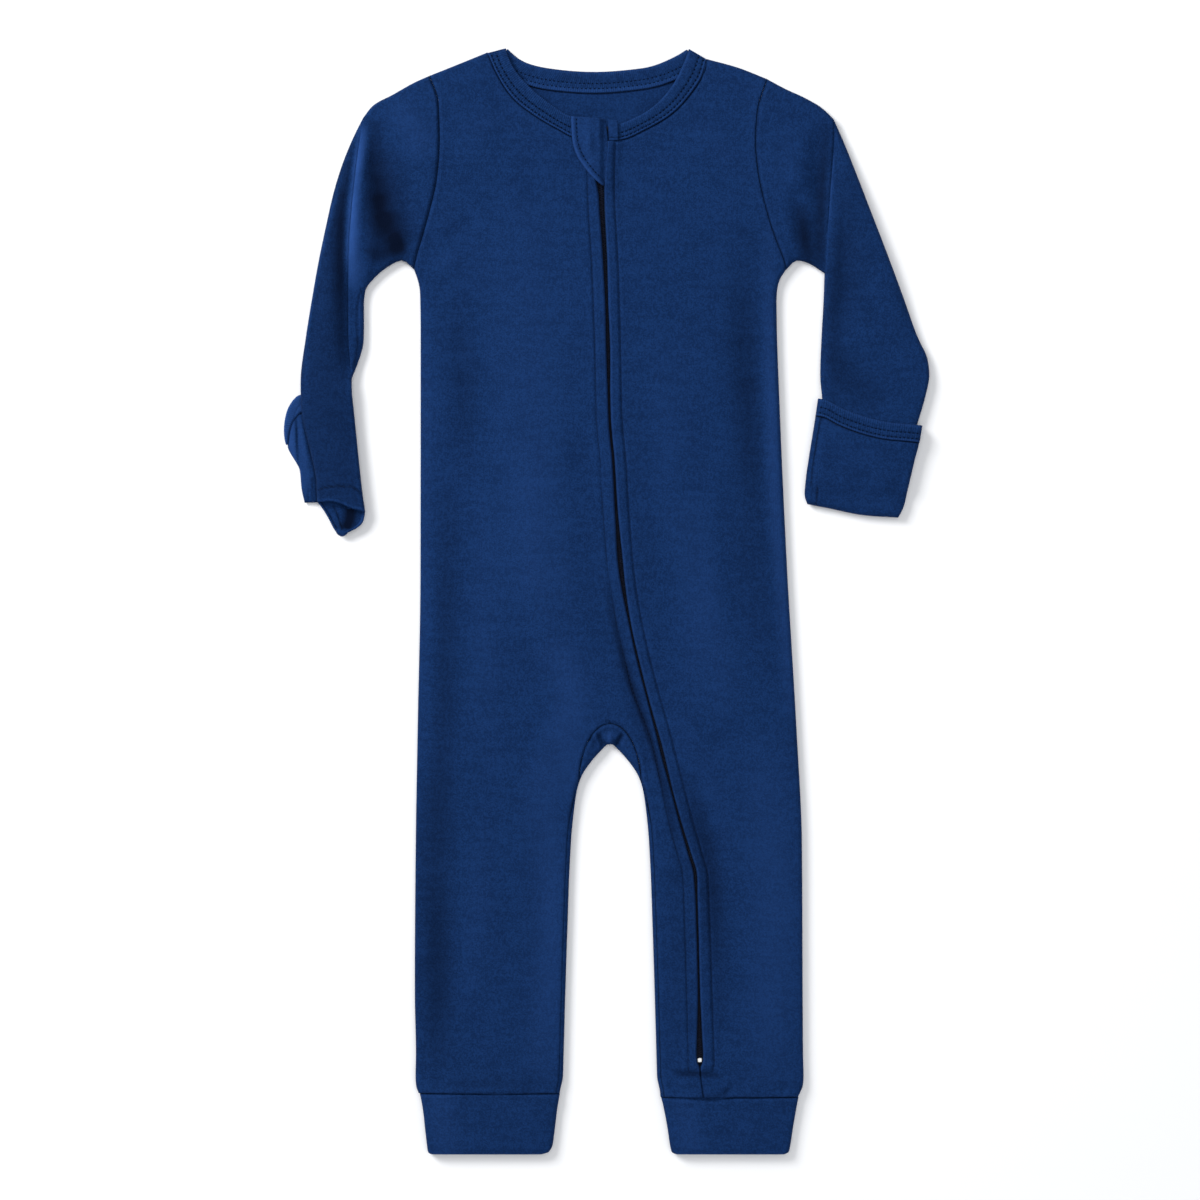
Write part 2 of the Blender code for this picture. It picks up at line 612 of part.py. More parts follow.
def seam_turn(height):
    """Arc from the fold to the back's inner seam: the gusset's below, the front's above."""
    if height > GUSSET_FOOT:
        inset = max(0.0, float(gusset_half(height) - leg_gap(height)))
        side = -1
    else:
        share = (inseam_inset(height) - SEAM) / (INSEAM_INSET - SEAM)
        inset = max(0.0, float(inseam_inset(height) - SEAM - TURNING_GAP * share * (1 - share)))
        side = 1
    if inset < ROUND:
        return side * ROUND * math.acos(1 - inset / ROUND)
    return side * (ROUND * math.pi / 2 + inset - ROUND)


def back_row(side, height):
    """One row of the back from the side seam to its inner seam."""
    edge = side_edge(side, height)
    inward = 1 if side == "right" else -1
    if height >= GUSSET_TOP:
        middle = CROTCH_X
        inner = middle - inward * np.linspace(0, 5.5, WRAP + 1)
        level = np.zeros(WRAP + 1)
    else:
        fold = CROTCH_X - inward * leg_gap(height)
        inner, level = wrapped(seam_turn(height), fold, -inward)
        if height > CROTCH:
            inner = CROTCH_X - inward * (gusset_half(height) + np.linspace(0, 5.5, WRAP + 1))
            level = np.zeros(WRAP + 1)
    outer = edge + inward * ROLL
    outer_level = MID - np.maximum(MID * crown(ROLL), LIP)
    flat = np.linspace(outer[-1], inner[-1], BACK_COLUMNS + 2)[1:-1]
    across = np.concatenate([outer, flat, inner[::-1]])
    heights = np.concatenate([outer_level, np.zeros(BACK_COLUMNS), level[::-1]])
    row = np.stack([across, np.full(len(across), height), heights], -1)
    return row if side == "right" else row[::-1]


def back_yoke(edges):
    """Net of the back above the yoke's foot, from armhole to armhole."""
    right, left = panel_side("right"), panel_side("left")
    v = run_lengths(right) / run_lengths(right)[-1]
    foot = np.concatenate([back_row("right", YOKE)[:, 0], back_row("left", YOKE)[1:, 0]])
    columns = (foot - foot[0]) / (foot[-1] - foot[0])
    neck = neck_seam("back")
    corner = (len(foot) - len(neck)) // 2
    outward = columns[:corner] / columns[corner]
    first = along(OUTLINE["right"]["shoulder"], outward)
    last = along(OUTLINE["left"]["shoulder"], outward)[::-1]
    first[0], last[-1] = right[0], left[0]
    top = np.concatenate([first, neck, last])
    bottom = np.stack([foot, np.full(len(foot), YOKE)], -1)
    net = coons(top, bottom, right, left, columns, v)
    return with_height(net, MID - np.maximum(MID * crown(reach(net, edges)), LIP))


def make_back(edges):
    yoke = back_yoke(edges)
    half = len(back_row("right", YOKE))
    nets = []
    for side, part, fold in (("right", yoke[:, :half], "first"),
                             ("left", yoke[:, half - 1:], "last")):
        rows = np.array([back_row(side, height) for height in lower_rows(side)])
        nets.append((with_lip(np.concatenate([part, rows]), -1, fold), True))
    cloth("back", nets, WALL)


# ---------------------------------------------------------------- gusset
GUSSET_TIP = 9.0        # turn at which its two thin ends stop


def make_gusset():
    """A crescent that rolls round the crotch's fold, from front seam to back seam."""
    rows = []
    turns = np.array(ARCH_TURNS[:-1] + (GUSSET_TIP,))
    for turn in np.radians(np.append(turns[::-1], 180 - turns[1:])):
        arch = np.array([CROTCH_X + GUSSET_HALF * math.cos(turn),
                         GUSSET_FOOT + GUSSET_DEPTH * math.sin(turn)])
        depth = (CROTCH - GUSSET_FOOT) * (1 - math.sin(turn))
        height = CROTCH - depth
        fold = np.array([CROTCH_X + math.copysign(float(leg_gap(height)), math.cos(turn)),
                         height])
        width = np.linalg.norm(arch - fold)
        inward = (arch - fold) / width
        reach_in = width - SEAM * (1 + 4 * (1 - math.sin(turn)) ** 2)
        inset = np.minimum(np.array([0.0, 0.4, 1.5, 3.0]), reach_in * 0.9)
        inset = np.concatenate([inset[:3], np.linspace(inset[3], reach_in, 3)])
        rise = crown(inset)
        plan = fold + inward * inset[:, None]
        front = with_height(plan, MID + MID * rise)[::-1]
        below = with_height(plan, MID - MID * rise)[1:]
        rows.append(np.concatenate([front, below]))
    cloth("gusset", [(np.array(rows), False)], WALL)


# ---------------------------------------------------------------- sleeves
FOREARM_ROWS = 8        # below the pleat's end
FOREARM_COLUMNS = 3     # level ones


def sleeve_plan(side):
    """Plan nets of the upper sleeve and of the forearm folded over it."""
    outline = OUTLINE[side]
    length = length_of(outline["armhole"])
    v = armhole_rows(side)
    u = np.linspace(0, 1, 5)
    armhole = along(outline["armhole"], v)
    pleat = along(outline["pleat"], v)
    upper = coons(along(outline["cap"], u), along(outline["underarm"], u),
                  armhole, pleat, u, v)
    # The forearm begins at the bend and opens downwards between pleat and outer edge
    outer_full = length_of(outline["outer"])
    pleat_full = length_of(outline["pleat"])
    shared = min(0.9, pleat_full * 1.05 / outer_full)
    outer_top = along(outline["outer"], v * shared)
    lower = np.linspace(0, 1, FOREARM_ROWS + 1)[1:]
    inner = np.concatenate([pleat, along(outline["inner"], lower)])
    outer = np.concatenate([outer_top, along(outline["outer"], shared + (1 - shared) * lower)])
    rows, insets, outsets = [], [], []
    for a, b in zip(inner, outer):
        width = max(np.linalg.norm(b - a), 1e-6)
        places = span(ROLL, ROLL, FOREARM_COLUMNS, width)
        rows.append(a + (b - a) * (places / width)[:, None])
        insets.append(places)
        outsets.append(width - places)
    return {"v": v, "upper": upper, "forearm": np.array(rows), "inset": np.array(insets),
            "outset": np.array(outsets), "fold rows": len(v), "length": length,
            "pleat length": pleat_full}


def sleeve_nets(side):
    plan = sleeve_plan(side)
    fold = FOLD[side]
    lift = WRIST_LIFT[side]
    v, count = plan["v"], plan["fold rows"]
    end = np.minimum(v, 1 - v) * plan["length"]
    round_rows = crown(end)[:, None]
    upper = plan["upper"]
    upper_front = MID + MID * round_rows + 0 * upper[..., 0]
    upper_back = MID - MID * round_rows + 0 * upper[..., 0]

    forearm = plan["forearm"]
    y = forearm[..., 1]
    rise = fold["rise"] * (1 - ramp(fold["full"], fold["starts"], y))
    rise = rise * ramp(fold["level"], fold["level"] + 40, y)
    top = LOFT + rise
    edge = np.full(len(forearm), MID)
    edge[:count - 1] = upper_front[:-1, -1] + 0.55 * rise[:count - 1, 0]
    edge = edge[:, None]
    front = edge + (top - edge) * crown(plan["inset"])
    front = np.minimum(front, MID + (top - MID) * crown(plan["outset"]))
    corner = np.zeros(len(forearm))
    corner[:count] = (1 - v) * plan["pleat length"]
    inward = np.minimum(np.hypot(plan["inset"], corner[:, None]), plan["outset"])
    back = MID - MID * crown(inward)
    back[:count, 0] = upper_back[:, -1]

    def lifted(plan_net, height):
        wrist = 1 - ramp(lift["full"], lift["begins"], plan_net[..., 1])
        squeeze = 1 + (lift["loft"] / LOFT - 1) * wrist
        return with_height(plan_net, height * squeeze + lift["lift"] * wrist)
    facing = side == "right"
    upper_front, upper_back = lifted(upper, upper_front), lifted(upper, upper_back)
    front, back = lifted(forearm, front), lifted(forearm, back)
    step = np.stack([upper_front[:, -1], front[:count, 0]], 1)
    return [(upper_front, facing), (upper_back, not facing),
            (front, facing), (back, not facing), (step, facing)]


def make_sleeve(side):
    nets = sleeve_nets(side)
    if side == "right":
        outer = np.array(WRIST_TONGUE["outer"])
        inner = np.array(WRIST_TONGUE["inner"])
        last = nets[3][0][-1]
        share = np.linalg.norm(last[:, :2] - last[0, :2], axis=1)
        share = (share / share[-1])[:, None]
        rows = [last]
        for a, b, rise in list(zip(inner, outer, WRIST_TONGUE["rise"]))[1:]:
            plan = a + (b - a) * share
            rows.append(with_height(plan, last[:, 2] + rise))
        nets.append((np.array(rows), not nets[2][1]))
    cloth("sleeve_" + side, nets, WALL)


# ---------------------------------------------------------------- bindings and cuffs
def make_neck_binding():
    """One folded strip: down from the zip, round each shoulder fold and across the back."""
    across = np.array([0.0, 0.12, 0.5, 1.0])
    middle = NECK_LOFT / 2
    rows = []
    for part in ("front right", "back", "front left"):
        stations = np.array(NECK[part], float)
        t = neck_rows(part)
        free, sewn = along(stations[:, 0], t), along(stations[:, 1], t)
        distance = {"front right": 1 - t, "back": np.minimum(t, 1 - t),
                    "front left": t}[part] * length_of(stations[:, 1])
        rise = middle * crown(distance) * (-1 if part == "back" else 1)
        for a, b, up in zip(free, sewn, rise):
            plan = a + (b - a) * across[:, None]
            slope = np.array([-0.35, 0.0, 0.0, 0.0]) * up / middle
            rows.append(with_height(plan, middle + up + slope))
    cloth("neck_binding", [(np.array(rows), False)], BINDING_WALL, "binding")


def ring(left, right, y, loft, flat):
    """Outline of a flattened tube across the garment at one height."""
    width = right - left
    places = span(ROLL, ROLL, flat, width)
    rise = crown(np.minimum(places, width - places))
    front = np.stack([left + places, np.full(len(places), y), loft / 2 * (1 + rise)], -1)
    back = np.stack([left + places, np.full(len(places), y), loft / 2 * (1 - rise)], -1)
    return np.concatenate([front, back[::-1]])


def make_cuff(side):
    rows = np.array([ring(left, right, y, LOFT, 4) for y, left, right in CUFFS[side]])
    cloth("leg_cuff_" + side, [(rows, False)], CUFF_WALL)


# ---------------------------------------------------------------- mittens
MITTEN_COLUMNS = 4      # level ones
RIM_ROLL = (0.0, 0.5, 1.4)


def chain_after(points, distance, fractions):
    """Points along a chain, from a distance past its first point to its last."""
    start = distance / length_of(points)
    return along(points, start + (1 - start) * np.asarray(fractions, float))


def mitten_line(distance, u):
    """A line across the closed mitten, a distance below its mouth."""
    mouth = along(MITTEN_LEFT["mouth"], u)
    inner = chain_after(MITTEN_LEFT["inner"], distance, [0.0]) - mouth[0]
    outer = chain_after(MITTEN_LEFT["outer"], distance, [0.0]) - mouth[-1]
    return mouth + (1 - u)[:, None] * inner + u[:, None] * outer


def make_mitten_left():
    """A pocket over the sleeve's end; its front begins under a binding."""
    table = MITTEN_LEFT
    width = length_of(table["mouth"])
    u = span(ROLL, ROLL, MITTEN_COLUMNS, width) / width
    seam = table["binding"] + SEAM
    depth = length_of(table["inner"]) - seam
    v = span((0.0,), ROLL, 3, depth) / depth
    pocket = coons(mitten_line(seam, u), along(table["end"], u),
                   chain_after(table["inner"], seam, v),
                   chain_after(table["outer"], seam, v), u, v)
    plan = np.concatenate([[mitten_line(0.0, u), mitten_line(seam / 2, u)], pocket])
    begins, ends = table["thins"]
    loft = table["flat"] + (table["loft"] - table["flat"]) * ramp(ends, begins, plan[..., 1])
    rise = crown(reach(plan, [plan[:, 0], plan[:, -1], plan[-1]]))
    cloth("mitten_left", [(with_height(pocket, (loft / 2 * (1 + rise))[2:]), False),
                          (with_height(plan, loft / 2 * (1 - rise)), True)], WALL)

    rows = [mitten_line(across, u) for across in (0.0, 0.8, table["binding"])]
    edge = np.minimum(u, 1 - u) * width
    height = table["binding height"] - MID * (1 - crown(edge))
    strip = with_height(np.array(rows), height)
    strip[0, :, 2] -= 0.4
    cloth("mitten_left_binding", [(strip, False)], BINDING_WALL, "binding")


def between(outer, inner, count):
    """Net between two chains, with closer rows and columns along its rim."""
    length = length_of(outer)
    t = span(RIM_ROLL, RIM_ROLL, count, length) / length
    rows = []
    for a, b in zip(along(outer, t), along(inner, t)):
        width = np.linalg.norm(b - a)
        rows.append(a + (b - a) * (span(RIM_ROLL, RIM_ROLL, 1, width) / width)[:, None])
    return np.array(rows)


def make_mitten_right():
    """The open mitten's layers behind the wrist, and the binding along their rim."""
    table = MITTEN_RIGHT
    half = table["thickness"] / 2
    pillow("mitten_right", between(table["outer"], table["inner"], 8), half, half,
           RIM_ROLL[-1], "knit")
    pillow("mitten_right_binding", between(table["rim outer"], table["rim inner"], 6),
           half, half, RIM_ROLL[-1], "binding")


# ---------------------------------------------------------------- zip
def zip_net(distances, heights):
    """Plan of a strip that follows the zip, at distances from its middle line."""
    return np.array([[(zip_middle(height) + distance, height) for distance in distances]
                     for height in heights], float)


def make_zip():
    heights = np.array([*ZIP_ROWS, *TRUNK_ROWS, *PLAIN_ROWS[:-1]])
    across = np.array(TAPE["across"])
    for side, turn in (("right", -1), ("left", 1)):
        plan = zip_net((turn * across)[::turn], np.append(heights, TAPE["foot"]))
        rise = np.array(TAPE["height"])[::turn]
        cloth("zip_tape_" + side, [(with_height(plan, rise), False)], TAPE["wall"],
              "zip tape")
    half = COIL["width"] / 2
    soft = COIL["softness"]
    plan = zip_net((-half, soft - half, 0.0, half - soft, half),
                   [COIL["top"], *heights[1:], COIL["foot"]])
    pillow("zip_coil", plan, COIL["middle"], COIL["half"], soft, "coil")
    for name, table in HARDWARE.items():
        block(name, table["at"], table["size"], table["kind"])


def block(name, centre, size, kind):
    """A box with rounded edges."""
    work = bmesh.new()
    bmesh.ops.create_cube(work, size=MM)
    bmesh.ops.scale(work, vec=size, verts=work.verts)
    mesh = bpy.data.meshes.new(name)
    work.to_mesh(mesh)
    work.free()
    mesh.shade_smooth()
    piece = add_object(name, mesh, kind)
    piece.location = np.array(centre) * MM
    edges = piece.modifiers.new("edges", "BEVEL")
    edges.width = HARDWARE_EDGE * MM
    edges.segments = 2


def make_guard():
    """Two layers of cloth over the pull, half round, at the top of the zip."""
    plan = between(GUARD["curved"], GUARD["straight"], 5)
    half = GUARD["thickness"] / 2
    lift = GUARD["pull rise"] * ramp(-12.0, -8.5, plan[..., 0])
    pillow("zip_guard", plan, GUARD["height"] + half + lift, half, 0.7, "knit")


# ---------------------------------------------------------------- run
def main():
    for thing in list(bpy.data.objects):
        bpy.data.objects.remove(thing, do_unlink=True)
    collection = bpy.data.collections.new(COLLECTION)
    bpy.context.scene.collection.children.link(collection)
    edges = body_edges()
    make_fronts(edges)
    make_back(edges)
    make_gusset()
    for side in ("right", "left"):
        make_sleeve(side)
        make_cuff(side)
    make_neck_binding()
    make_mitten_right()
    make_mitten_left()
    make_zip()
    make_guard()


main()
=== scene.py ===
import math

import bmesh
import bpy
import numpy as np
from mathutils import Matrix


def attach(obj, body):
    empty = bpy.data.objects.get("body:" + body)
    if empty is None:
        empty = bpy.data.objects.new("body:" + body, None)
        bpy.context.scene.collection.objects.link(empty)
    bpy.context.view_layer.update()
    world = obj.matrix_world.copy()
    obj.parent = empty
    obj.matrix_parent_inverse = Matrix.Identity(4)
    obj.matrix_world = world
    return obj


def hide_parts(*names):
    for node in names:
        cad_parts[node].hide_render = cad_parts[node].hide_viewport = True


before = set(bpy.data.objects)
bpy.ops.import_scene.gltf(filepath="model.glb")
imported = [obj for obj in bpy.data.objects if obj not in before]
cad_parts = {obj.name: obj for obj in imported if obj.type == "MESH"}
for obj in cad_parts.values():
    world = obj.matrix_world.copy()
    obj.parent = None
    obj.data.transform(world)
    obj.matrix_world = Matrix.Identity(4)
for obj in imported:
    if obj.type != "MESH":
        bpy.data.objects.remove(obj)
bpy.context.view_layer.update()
print("frame loaded:", len(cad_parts), "solids")

# Lengths are millimetres until a mesh is made: +X the wearer's left, +Y the neck, +Z up
mm = 0.001


# Curves
def flow(knots, values, at):
    # smooth cubic through values at rising knots, read at other places
    # (slopes are held back where the values turn, so nothing swings past them)
    knots, values = np.asarray(knots, float), np.asarray(values, float)
    slopes = np.gradient(values, knots, axis=0)
    gaps = np.diff(knots) if values.ndim == 1 else np.diff(knots)[:, None]
    rise = np.diff(values, axis=0) / gaps
    least = np.minimum(np.abs(rise[1:]), np.abs(rise[:-1]))
    limit = np.where(rise[1:] * rise[:-1] > 0, 1.7 * least, 0.35 * least)
    slopes[1:-1] = np.clip(slopes[1:-1], -limit, limit)
    at = np.clip(np.asarray(at, float), knots[0], knots[-1])
    left = np.clip(np.searchsorted(knots, at, side="right") - 1, 0, len(knots) - 2)
    step = knots[left + 1] - knots[left]
    t = (at - knots[left]) / step
    if values.ndim > 1:
        t, step = t[..., None], step[..., None]
    return ((1 + 2 * t) * (1 - t) ** 2 * values[left] + t * (1 - t) ** 2 * step * slopes[left]
            + t * t * (3 - 2 * t) * values[left + 1] + t * t * (t - 1) * step * slopes[left + 1])


def runLengths(points):
    # distance along a chain of points, from its first
    steps = np.linalg.norm(np.diff(points, axis=0), axis=1)
    return np.concatenate([[0.0], np.cumsum(steps)])


def along(points, fractions, soften=3.0):
    # points at fractions of the length of the smooth curve near a few points
    # (a running mean over twice soften millimetres takes the last kinks out)
    points = np.asarray(points, float)
    whole = runLengths(points)[-1]
    fine = flow(runLengths(points), points, np.linspace(0, whole, 400))
    near = int(min(60, soften / whole * 400))
    if near > 1 and len(points) > 2:
        weight = np.hanning(2 * near + 3)[1:-1] / np.hanning(2 * near + 3).sum()
        padded = np.concatenate([2 * fine[0] - fine[near:0:-1], fine,
                                 2 * fine[-1] - fine[-2:-near - 2:-1]])
        fine = np.stack([np.convolve(each, weight, "valid") for each in padded.T], -1)
    lengths = runLengths(fine)
    wanted = np.clip(np.asarray(fractions, float), 0, 1) * lengths[-1]
    return np.stack([np.interp(wanted, lengths, fine[:, k]) for k in range(fine.shape[1])], -1)


def lengthOf(points):
    # length of the smooth curve through a few points
    return runLengths(along(points, np.linspace(0, 1, 200)))[-1]


def ramp(a, b, value):
    # smooth step from 0 at a to 1 at b
    t = np.clip((np.asarray(value, float) - a) / (b - a), 0, 1)
    return t * t * (3 - 2 * t)


def bell(distance, width):
    # 1 at no distance, falling as exp(-(distance / width) squared)
    return np.exp(-(distance / width) ** 2)


def crown(distance, size):
    # a quarter of an ellipse: 0 at a fold, 1 where the wall is level
    return np.sqrt(np.clip(1 - (1 - np.clip(distance / size, 0, 1)) ** 2, 0, 1))


def levelling(distance, width):
    # a parabola: 0 at an edge, 1 from a width on
    return 1 - (1 - np.clip(distance / width, 0, 1)) ** 2


def spread(near, far, between, lengths):
    # rising distances over each length: given ones at both ends, even ones between
    near, far = np.asarray(near, float), np.asarray(far, float)
    lengths = np.atleast_1d(np.asarray(lengths, float))[:, None]
    scale = np.minimum(1.0, lengths * 0.8 / (near[-1] + far[-1]))
    first, last = near * scale, lengths - (far * scale)[:, ::-1]
    share = np.linspace(0, 1, between + 2)[1:-1]
    return np.concatenate([first, first[:, -1:] + (last[:, :1] - first[:, -1:]) * share, last], 1)


def coons(top, bottom, left, right, u, v):
    # net between four chains of points; u runs across and v runs down
    u, v = np.asarray(u)[None, :, None], np.asarray(v)[:, None, None]
    corners = ((1 - u) * (1 - v) * top[0] + u * (1 - v) * top[-1]
               + (1 - u) * v * bottom[0] + u * v * bottom[-1])
    return ((1 - v) * top[None] + v * bottom[None]
            + (1 - u) * left[:, None] + u * right[:, None] - corners)


def measure(plan, line):
    # distance from each point to a chain, where along the chain, and on which side of it
    flat = plan[..., :2].reshape(-1, 2)
    line = np.asarray(line, float)
    a, ab = line[:-1], np.diff(line, axis=0)
    lengths = np.maximum((ab ** 2).sum(1), 1e-12)
    t = np.clip(((flat[:, None] - a) * ab).sum(-1) / lengths, 0, 1)
    away = flat[:, None] - (a + t[..., None] * ab)
    gaps = np.hypot(away[..., 0], away[..., 1])
    best = gaps.argmin(1)
    pick = np.arange(len(flat))
    run = runLengths(line)[best] + t[pick, best] * np.sqrt(lengths[best])
    side = ab[best, 0] * away[pick, best, 1] - ab[best, 1] * away[pick, best, 0]
    shape = plan.shape[:-1]
    return gaps[pick, best].reshape(shape), run.reshape(shape), np.sign(side).reshape(shape)


def reach(plan, lines):
    # distance from each point to the nearest of several chains
    return np.min([measure(plan, line)[0] for line in lines], axis=0)


def curveOf(table, count=60):
    # evenly spaced points on the smooth curve through a few
    return along(table, np.linspace(0, 1, count))


def awayFrom(plan, table):
    # distance from each point to the smooth curve near a few points
    return measure(plan, curveOf(table))[0]


def inFromRim(plan):
    # distance from each point of a net to the net's own rim
    return reach(plan, [plan[0], plan[-1], plan[:, 0], plan[:, -1]])


def withHeight(plan, height):
    # points seen from above, each given its height
    return np.concatenate([plan[..., :2], np.broadcast_to(height, plan.shape[:-1])[..., None]],
                          -1)


def waver(run, seed, length=23.0):
    # slow uneven wave between about -1 and 1, the same on every run
    return (np.sin(run * 6.28 / length + seed * 2.1) * 0.5
            + np.sin(run * 6.28 / (length * 0.43) + seed * 5.3) * 0.3
            + np.sin(run * 6.28 / (length * 0.21) + seed * 9.7) * 0.2)


def creased(plan, creases, uneven=0.25, ends=0.8):
    # sum of listed folds: each a line, its depth (minus for a trough), its half
    # width, and how much sharper one flank is than the other
    total = np.zeros(plan.shape[:-1])
    for line, depth, width, lean in creases:
        line = along(line, np.linspace(0, 1, 14))
        distance, run, side = measure(plan, line)
        whole = runLengths(line)[-1]
        taper = np.sin(np.pi * np.clip(run / whole, 0, 1)) ** ends
        wave = 1 + uneven * waver(run, depth * 7 + width)
        total += depth * taper * wave * bell(distance, width * (1 + lean * side))
    return total


def paintedShading(plan, paintedStrokes):
    # painted light and shade: soft light and dark strips, given like folds: line, shade, half width,
    # lean
    return creased(plan, paintedStrokes, 0.1, 0.5)


# Meshes
def netFaces(rows, columns, start, facingDown):
    # quads of a net of points, which face up when the rows run down the garment
    corner = start + np.arange(rows - 1)[:, None] * columns + np.arange(columns - 1)[None]
    quads = np.stack([corner, corner + columns, corner + columns + 1, corner + 1], -1)
    return (quads[..., ::-1] if facingDown else quads).reshape(-1, 4)


def placed(name, mesh, finish):
    # the object of a mesh, riding the part's only body
    mesh.shade_smooth()
    mesh.materials.append(finish)
    piece = bpy.data.objects.new(name, mesh)
    bpy.context.scene.collection.objects.link(piece)
    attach(piece, "root")
    return piece


def makeMesh(name, nets, finish, wall=0.0, merge=0.02):
    # nets holds (points, facing down, shade, runs): shade is painted light, below 0 for painted shade
    # in seams, creases and hollows, above 0 for painted highlights on ridges and edges, 0 on plain
    # cloth; runs is how far along a strip and across it
    points = np.concatenate([net[0].reshape(-1, 3) for net in nets]) * mm
    starts = np.cumsum([0] + [net[0].shape[0] * net[0].shape[1] for net in nets])
    faces = np.concatenate([netFaces(*net[0].shape[:2], start, net[1])
                            for net, start in zip(nets, starts)])
    shades = [np.broadcast_to(net[2] if len(net) > 2 else 0.0, net[0].shape[:2]).ravel()
              for net in nets]
    mesh = bpy.data.meshes.new(name)
    mesh.from_pydata(points, [], faces.tolist())
    layer = mesh.attributes.new("shade", "FLOAT", "POINT")
    layer.data.foreach_set("value", np.concatenate(shades).astype(np.float32))
    if len(nets[0]) > 3:
        runs = np.concatenate([net[3].reshape(-1, 3) for net in nets])
        layer = mesh.attributes.new("lay", "FLOAT_VECTOR", "POINT")
        layer.data.foreach_set("vector", runs.astype(np.float32).ravel())
    work = bmesh.new()
    work.from_mesh(mesh)
    bmesh.ops.remove_doubles(work, verts=work.verts, dist=merge * mm)
    bmesh.ops.dissolve_degenerate(work, edges=work.edges, dist=0.004 * mm)
    work.to_mesh(mesh)
    work.free()
    piece = placed(name, mesh, finish)
    if wall:
        thicken = piece.modifiers.new("wall", "SOLIDIFY")
        thicken.thickness = wall * mm
        thicken.offset = -1
    return piece


def standsFor(piece, node):
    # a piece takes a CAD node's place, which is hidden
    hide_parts(node)
    return piece


# Camera, floor and light
studio = {
    "middle": (-3.3, 0.0), "across": 660.0,     # what the square frame takes in
    "lens": 90.0, "sensor": 36.0,
    "floorColour": (0.93, 0.93, 0.935), "floorShade": (0.90, 0.905, 0.915),
    "floorSize": 6000.0, "floorDrop": 0.3,
    "skyColour": (0.90, 0.94, 1.0), "skyStrength": 0.31,
    "lamps": (("key", (-1450, 1200, 1300), 950, 52.0), ("top", (200, 100, 2000), 1700, 17.0),
              ("low", (900, -1300, 900), 1200, 5.0)),
}


def lookAt(thing, target):
    # turns a lamp, which shines down its own -Z, towards a target
    away = np.array(target, float) - np.array(thing.location)
    thing.rotation_euler = (math.atan2(math.hypot(away[0], away[1]), -away[2]), 0,
                            math.atan2(-away[0], away[1]) if np.any(away[:2]) else 0)


def makeStudio():
    # camera straight above, as high as its lens needs to take in the square, with area
    # lamps turned to the middle and a pale sky and floor
    scene = bpy.context.scene
    camera = bpy.data.objects.new("camera", bpy.data.cameras.new("camera"))
    camera.data.lens, camera.data.sensor_width = studio["lens"], studio["sensor"]
    height = studio["across"] * studio["lens"] / studio["sensor"]
    camera.location = (studio["middle"][0] * mm, studio["middle"][1] * mm, height * mm)
    scene.collection.objects.link(camera)
    scene.camera = camera
    for name, place, size, power in studio["lamps"]:
        lamp = bpy.data.lights.new(name, "AREA")
        lamp.size, lamp.energy = size * mm, power
        lampObject = bpy.data.objects.new(name, lamp)
        lampObject.location = np.array(place) * mm
        lookAt(lampObject, (0, 0, 0))
        scene.collection.objects.link(lampObject)
    scene.view_settings.view_transform = "Standard"
    scene.world = scene.world or bpy.data.worlds.new("sky")
    scene.world.use_nodes = True
    sky = scene.world.node_tree.nodes["Background"]
    sky.inputs["Color"].default_value = (*studio["skyColour"], 1)
    sky.inputs["Strength"].default_value = studio["skyStrength"]
    half, below = studio["floorSize"] / 2 * mm, -studio["floorDrop"] * mm
    floor = bpy.data.meshes.new("floor")
    floor.from_pydata([(x * half, y * half, below) for x, y in ((-1, -1), (1, -1), (1, 1), (-1, 1))],
                      [], [(0, 1, 2, 3)])
    paper = Recipe("floorPaper", Roughness=0.9)
    paper.feed("Base Color", paper.tint(studio["floorColour"], studio["floorShade"],
                                        paper.noise(paper.place(), 0.004)))
    floor.materials.append(paper.material)
    floorObject = bpy.data.objects.new("floor", floor)
    scene.collection.objects.link(floorObject)


# Materials
class Wire:
    # an output socket; sums on it become Math nodes
    def __init__(self, recipe, socket):
        self.recipe, self.socket = recipe, socket

    def sum(self, operation, first, second):
        return self.recipe.add("ShaderNodeMath", {"operation": operation}, {0: first, 1: second})

    def __add__(self, other):
        return self.sum("ADD", self, other)

    def __radd__(self, other):
        return self.sum("ADD", other, self)

    def __sub__(self, other):
        return self.sum("SUBTRACT", self, other)

    def __rsub__(self, other):
        return self.sum("SUBTRACT", other, self)

    def __mul__(self, other):
        return self.sum("MULTIPLY", self, other)

    def __rmul__(self, other):
        return self.sum("MULTIPLY", other, self)

    def __truediv__(self, other):
        return self.sum("DIVIDE", self, other)

    def __pow__(self, other):
        return self.sum("POWER", self, other)


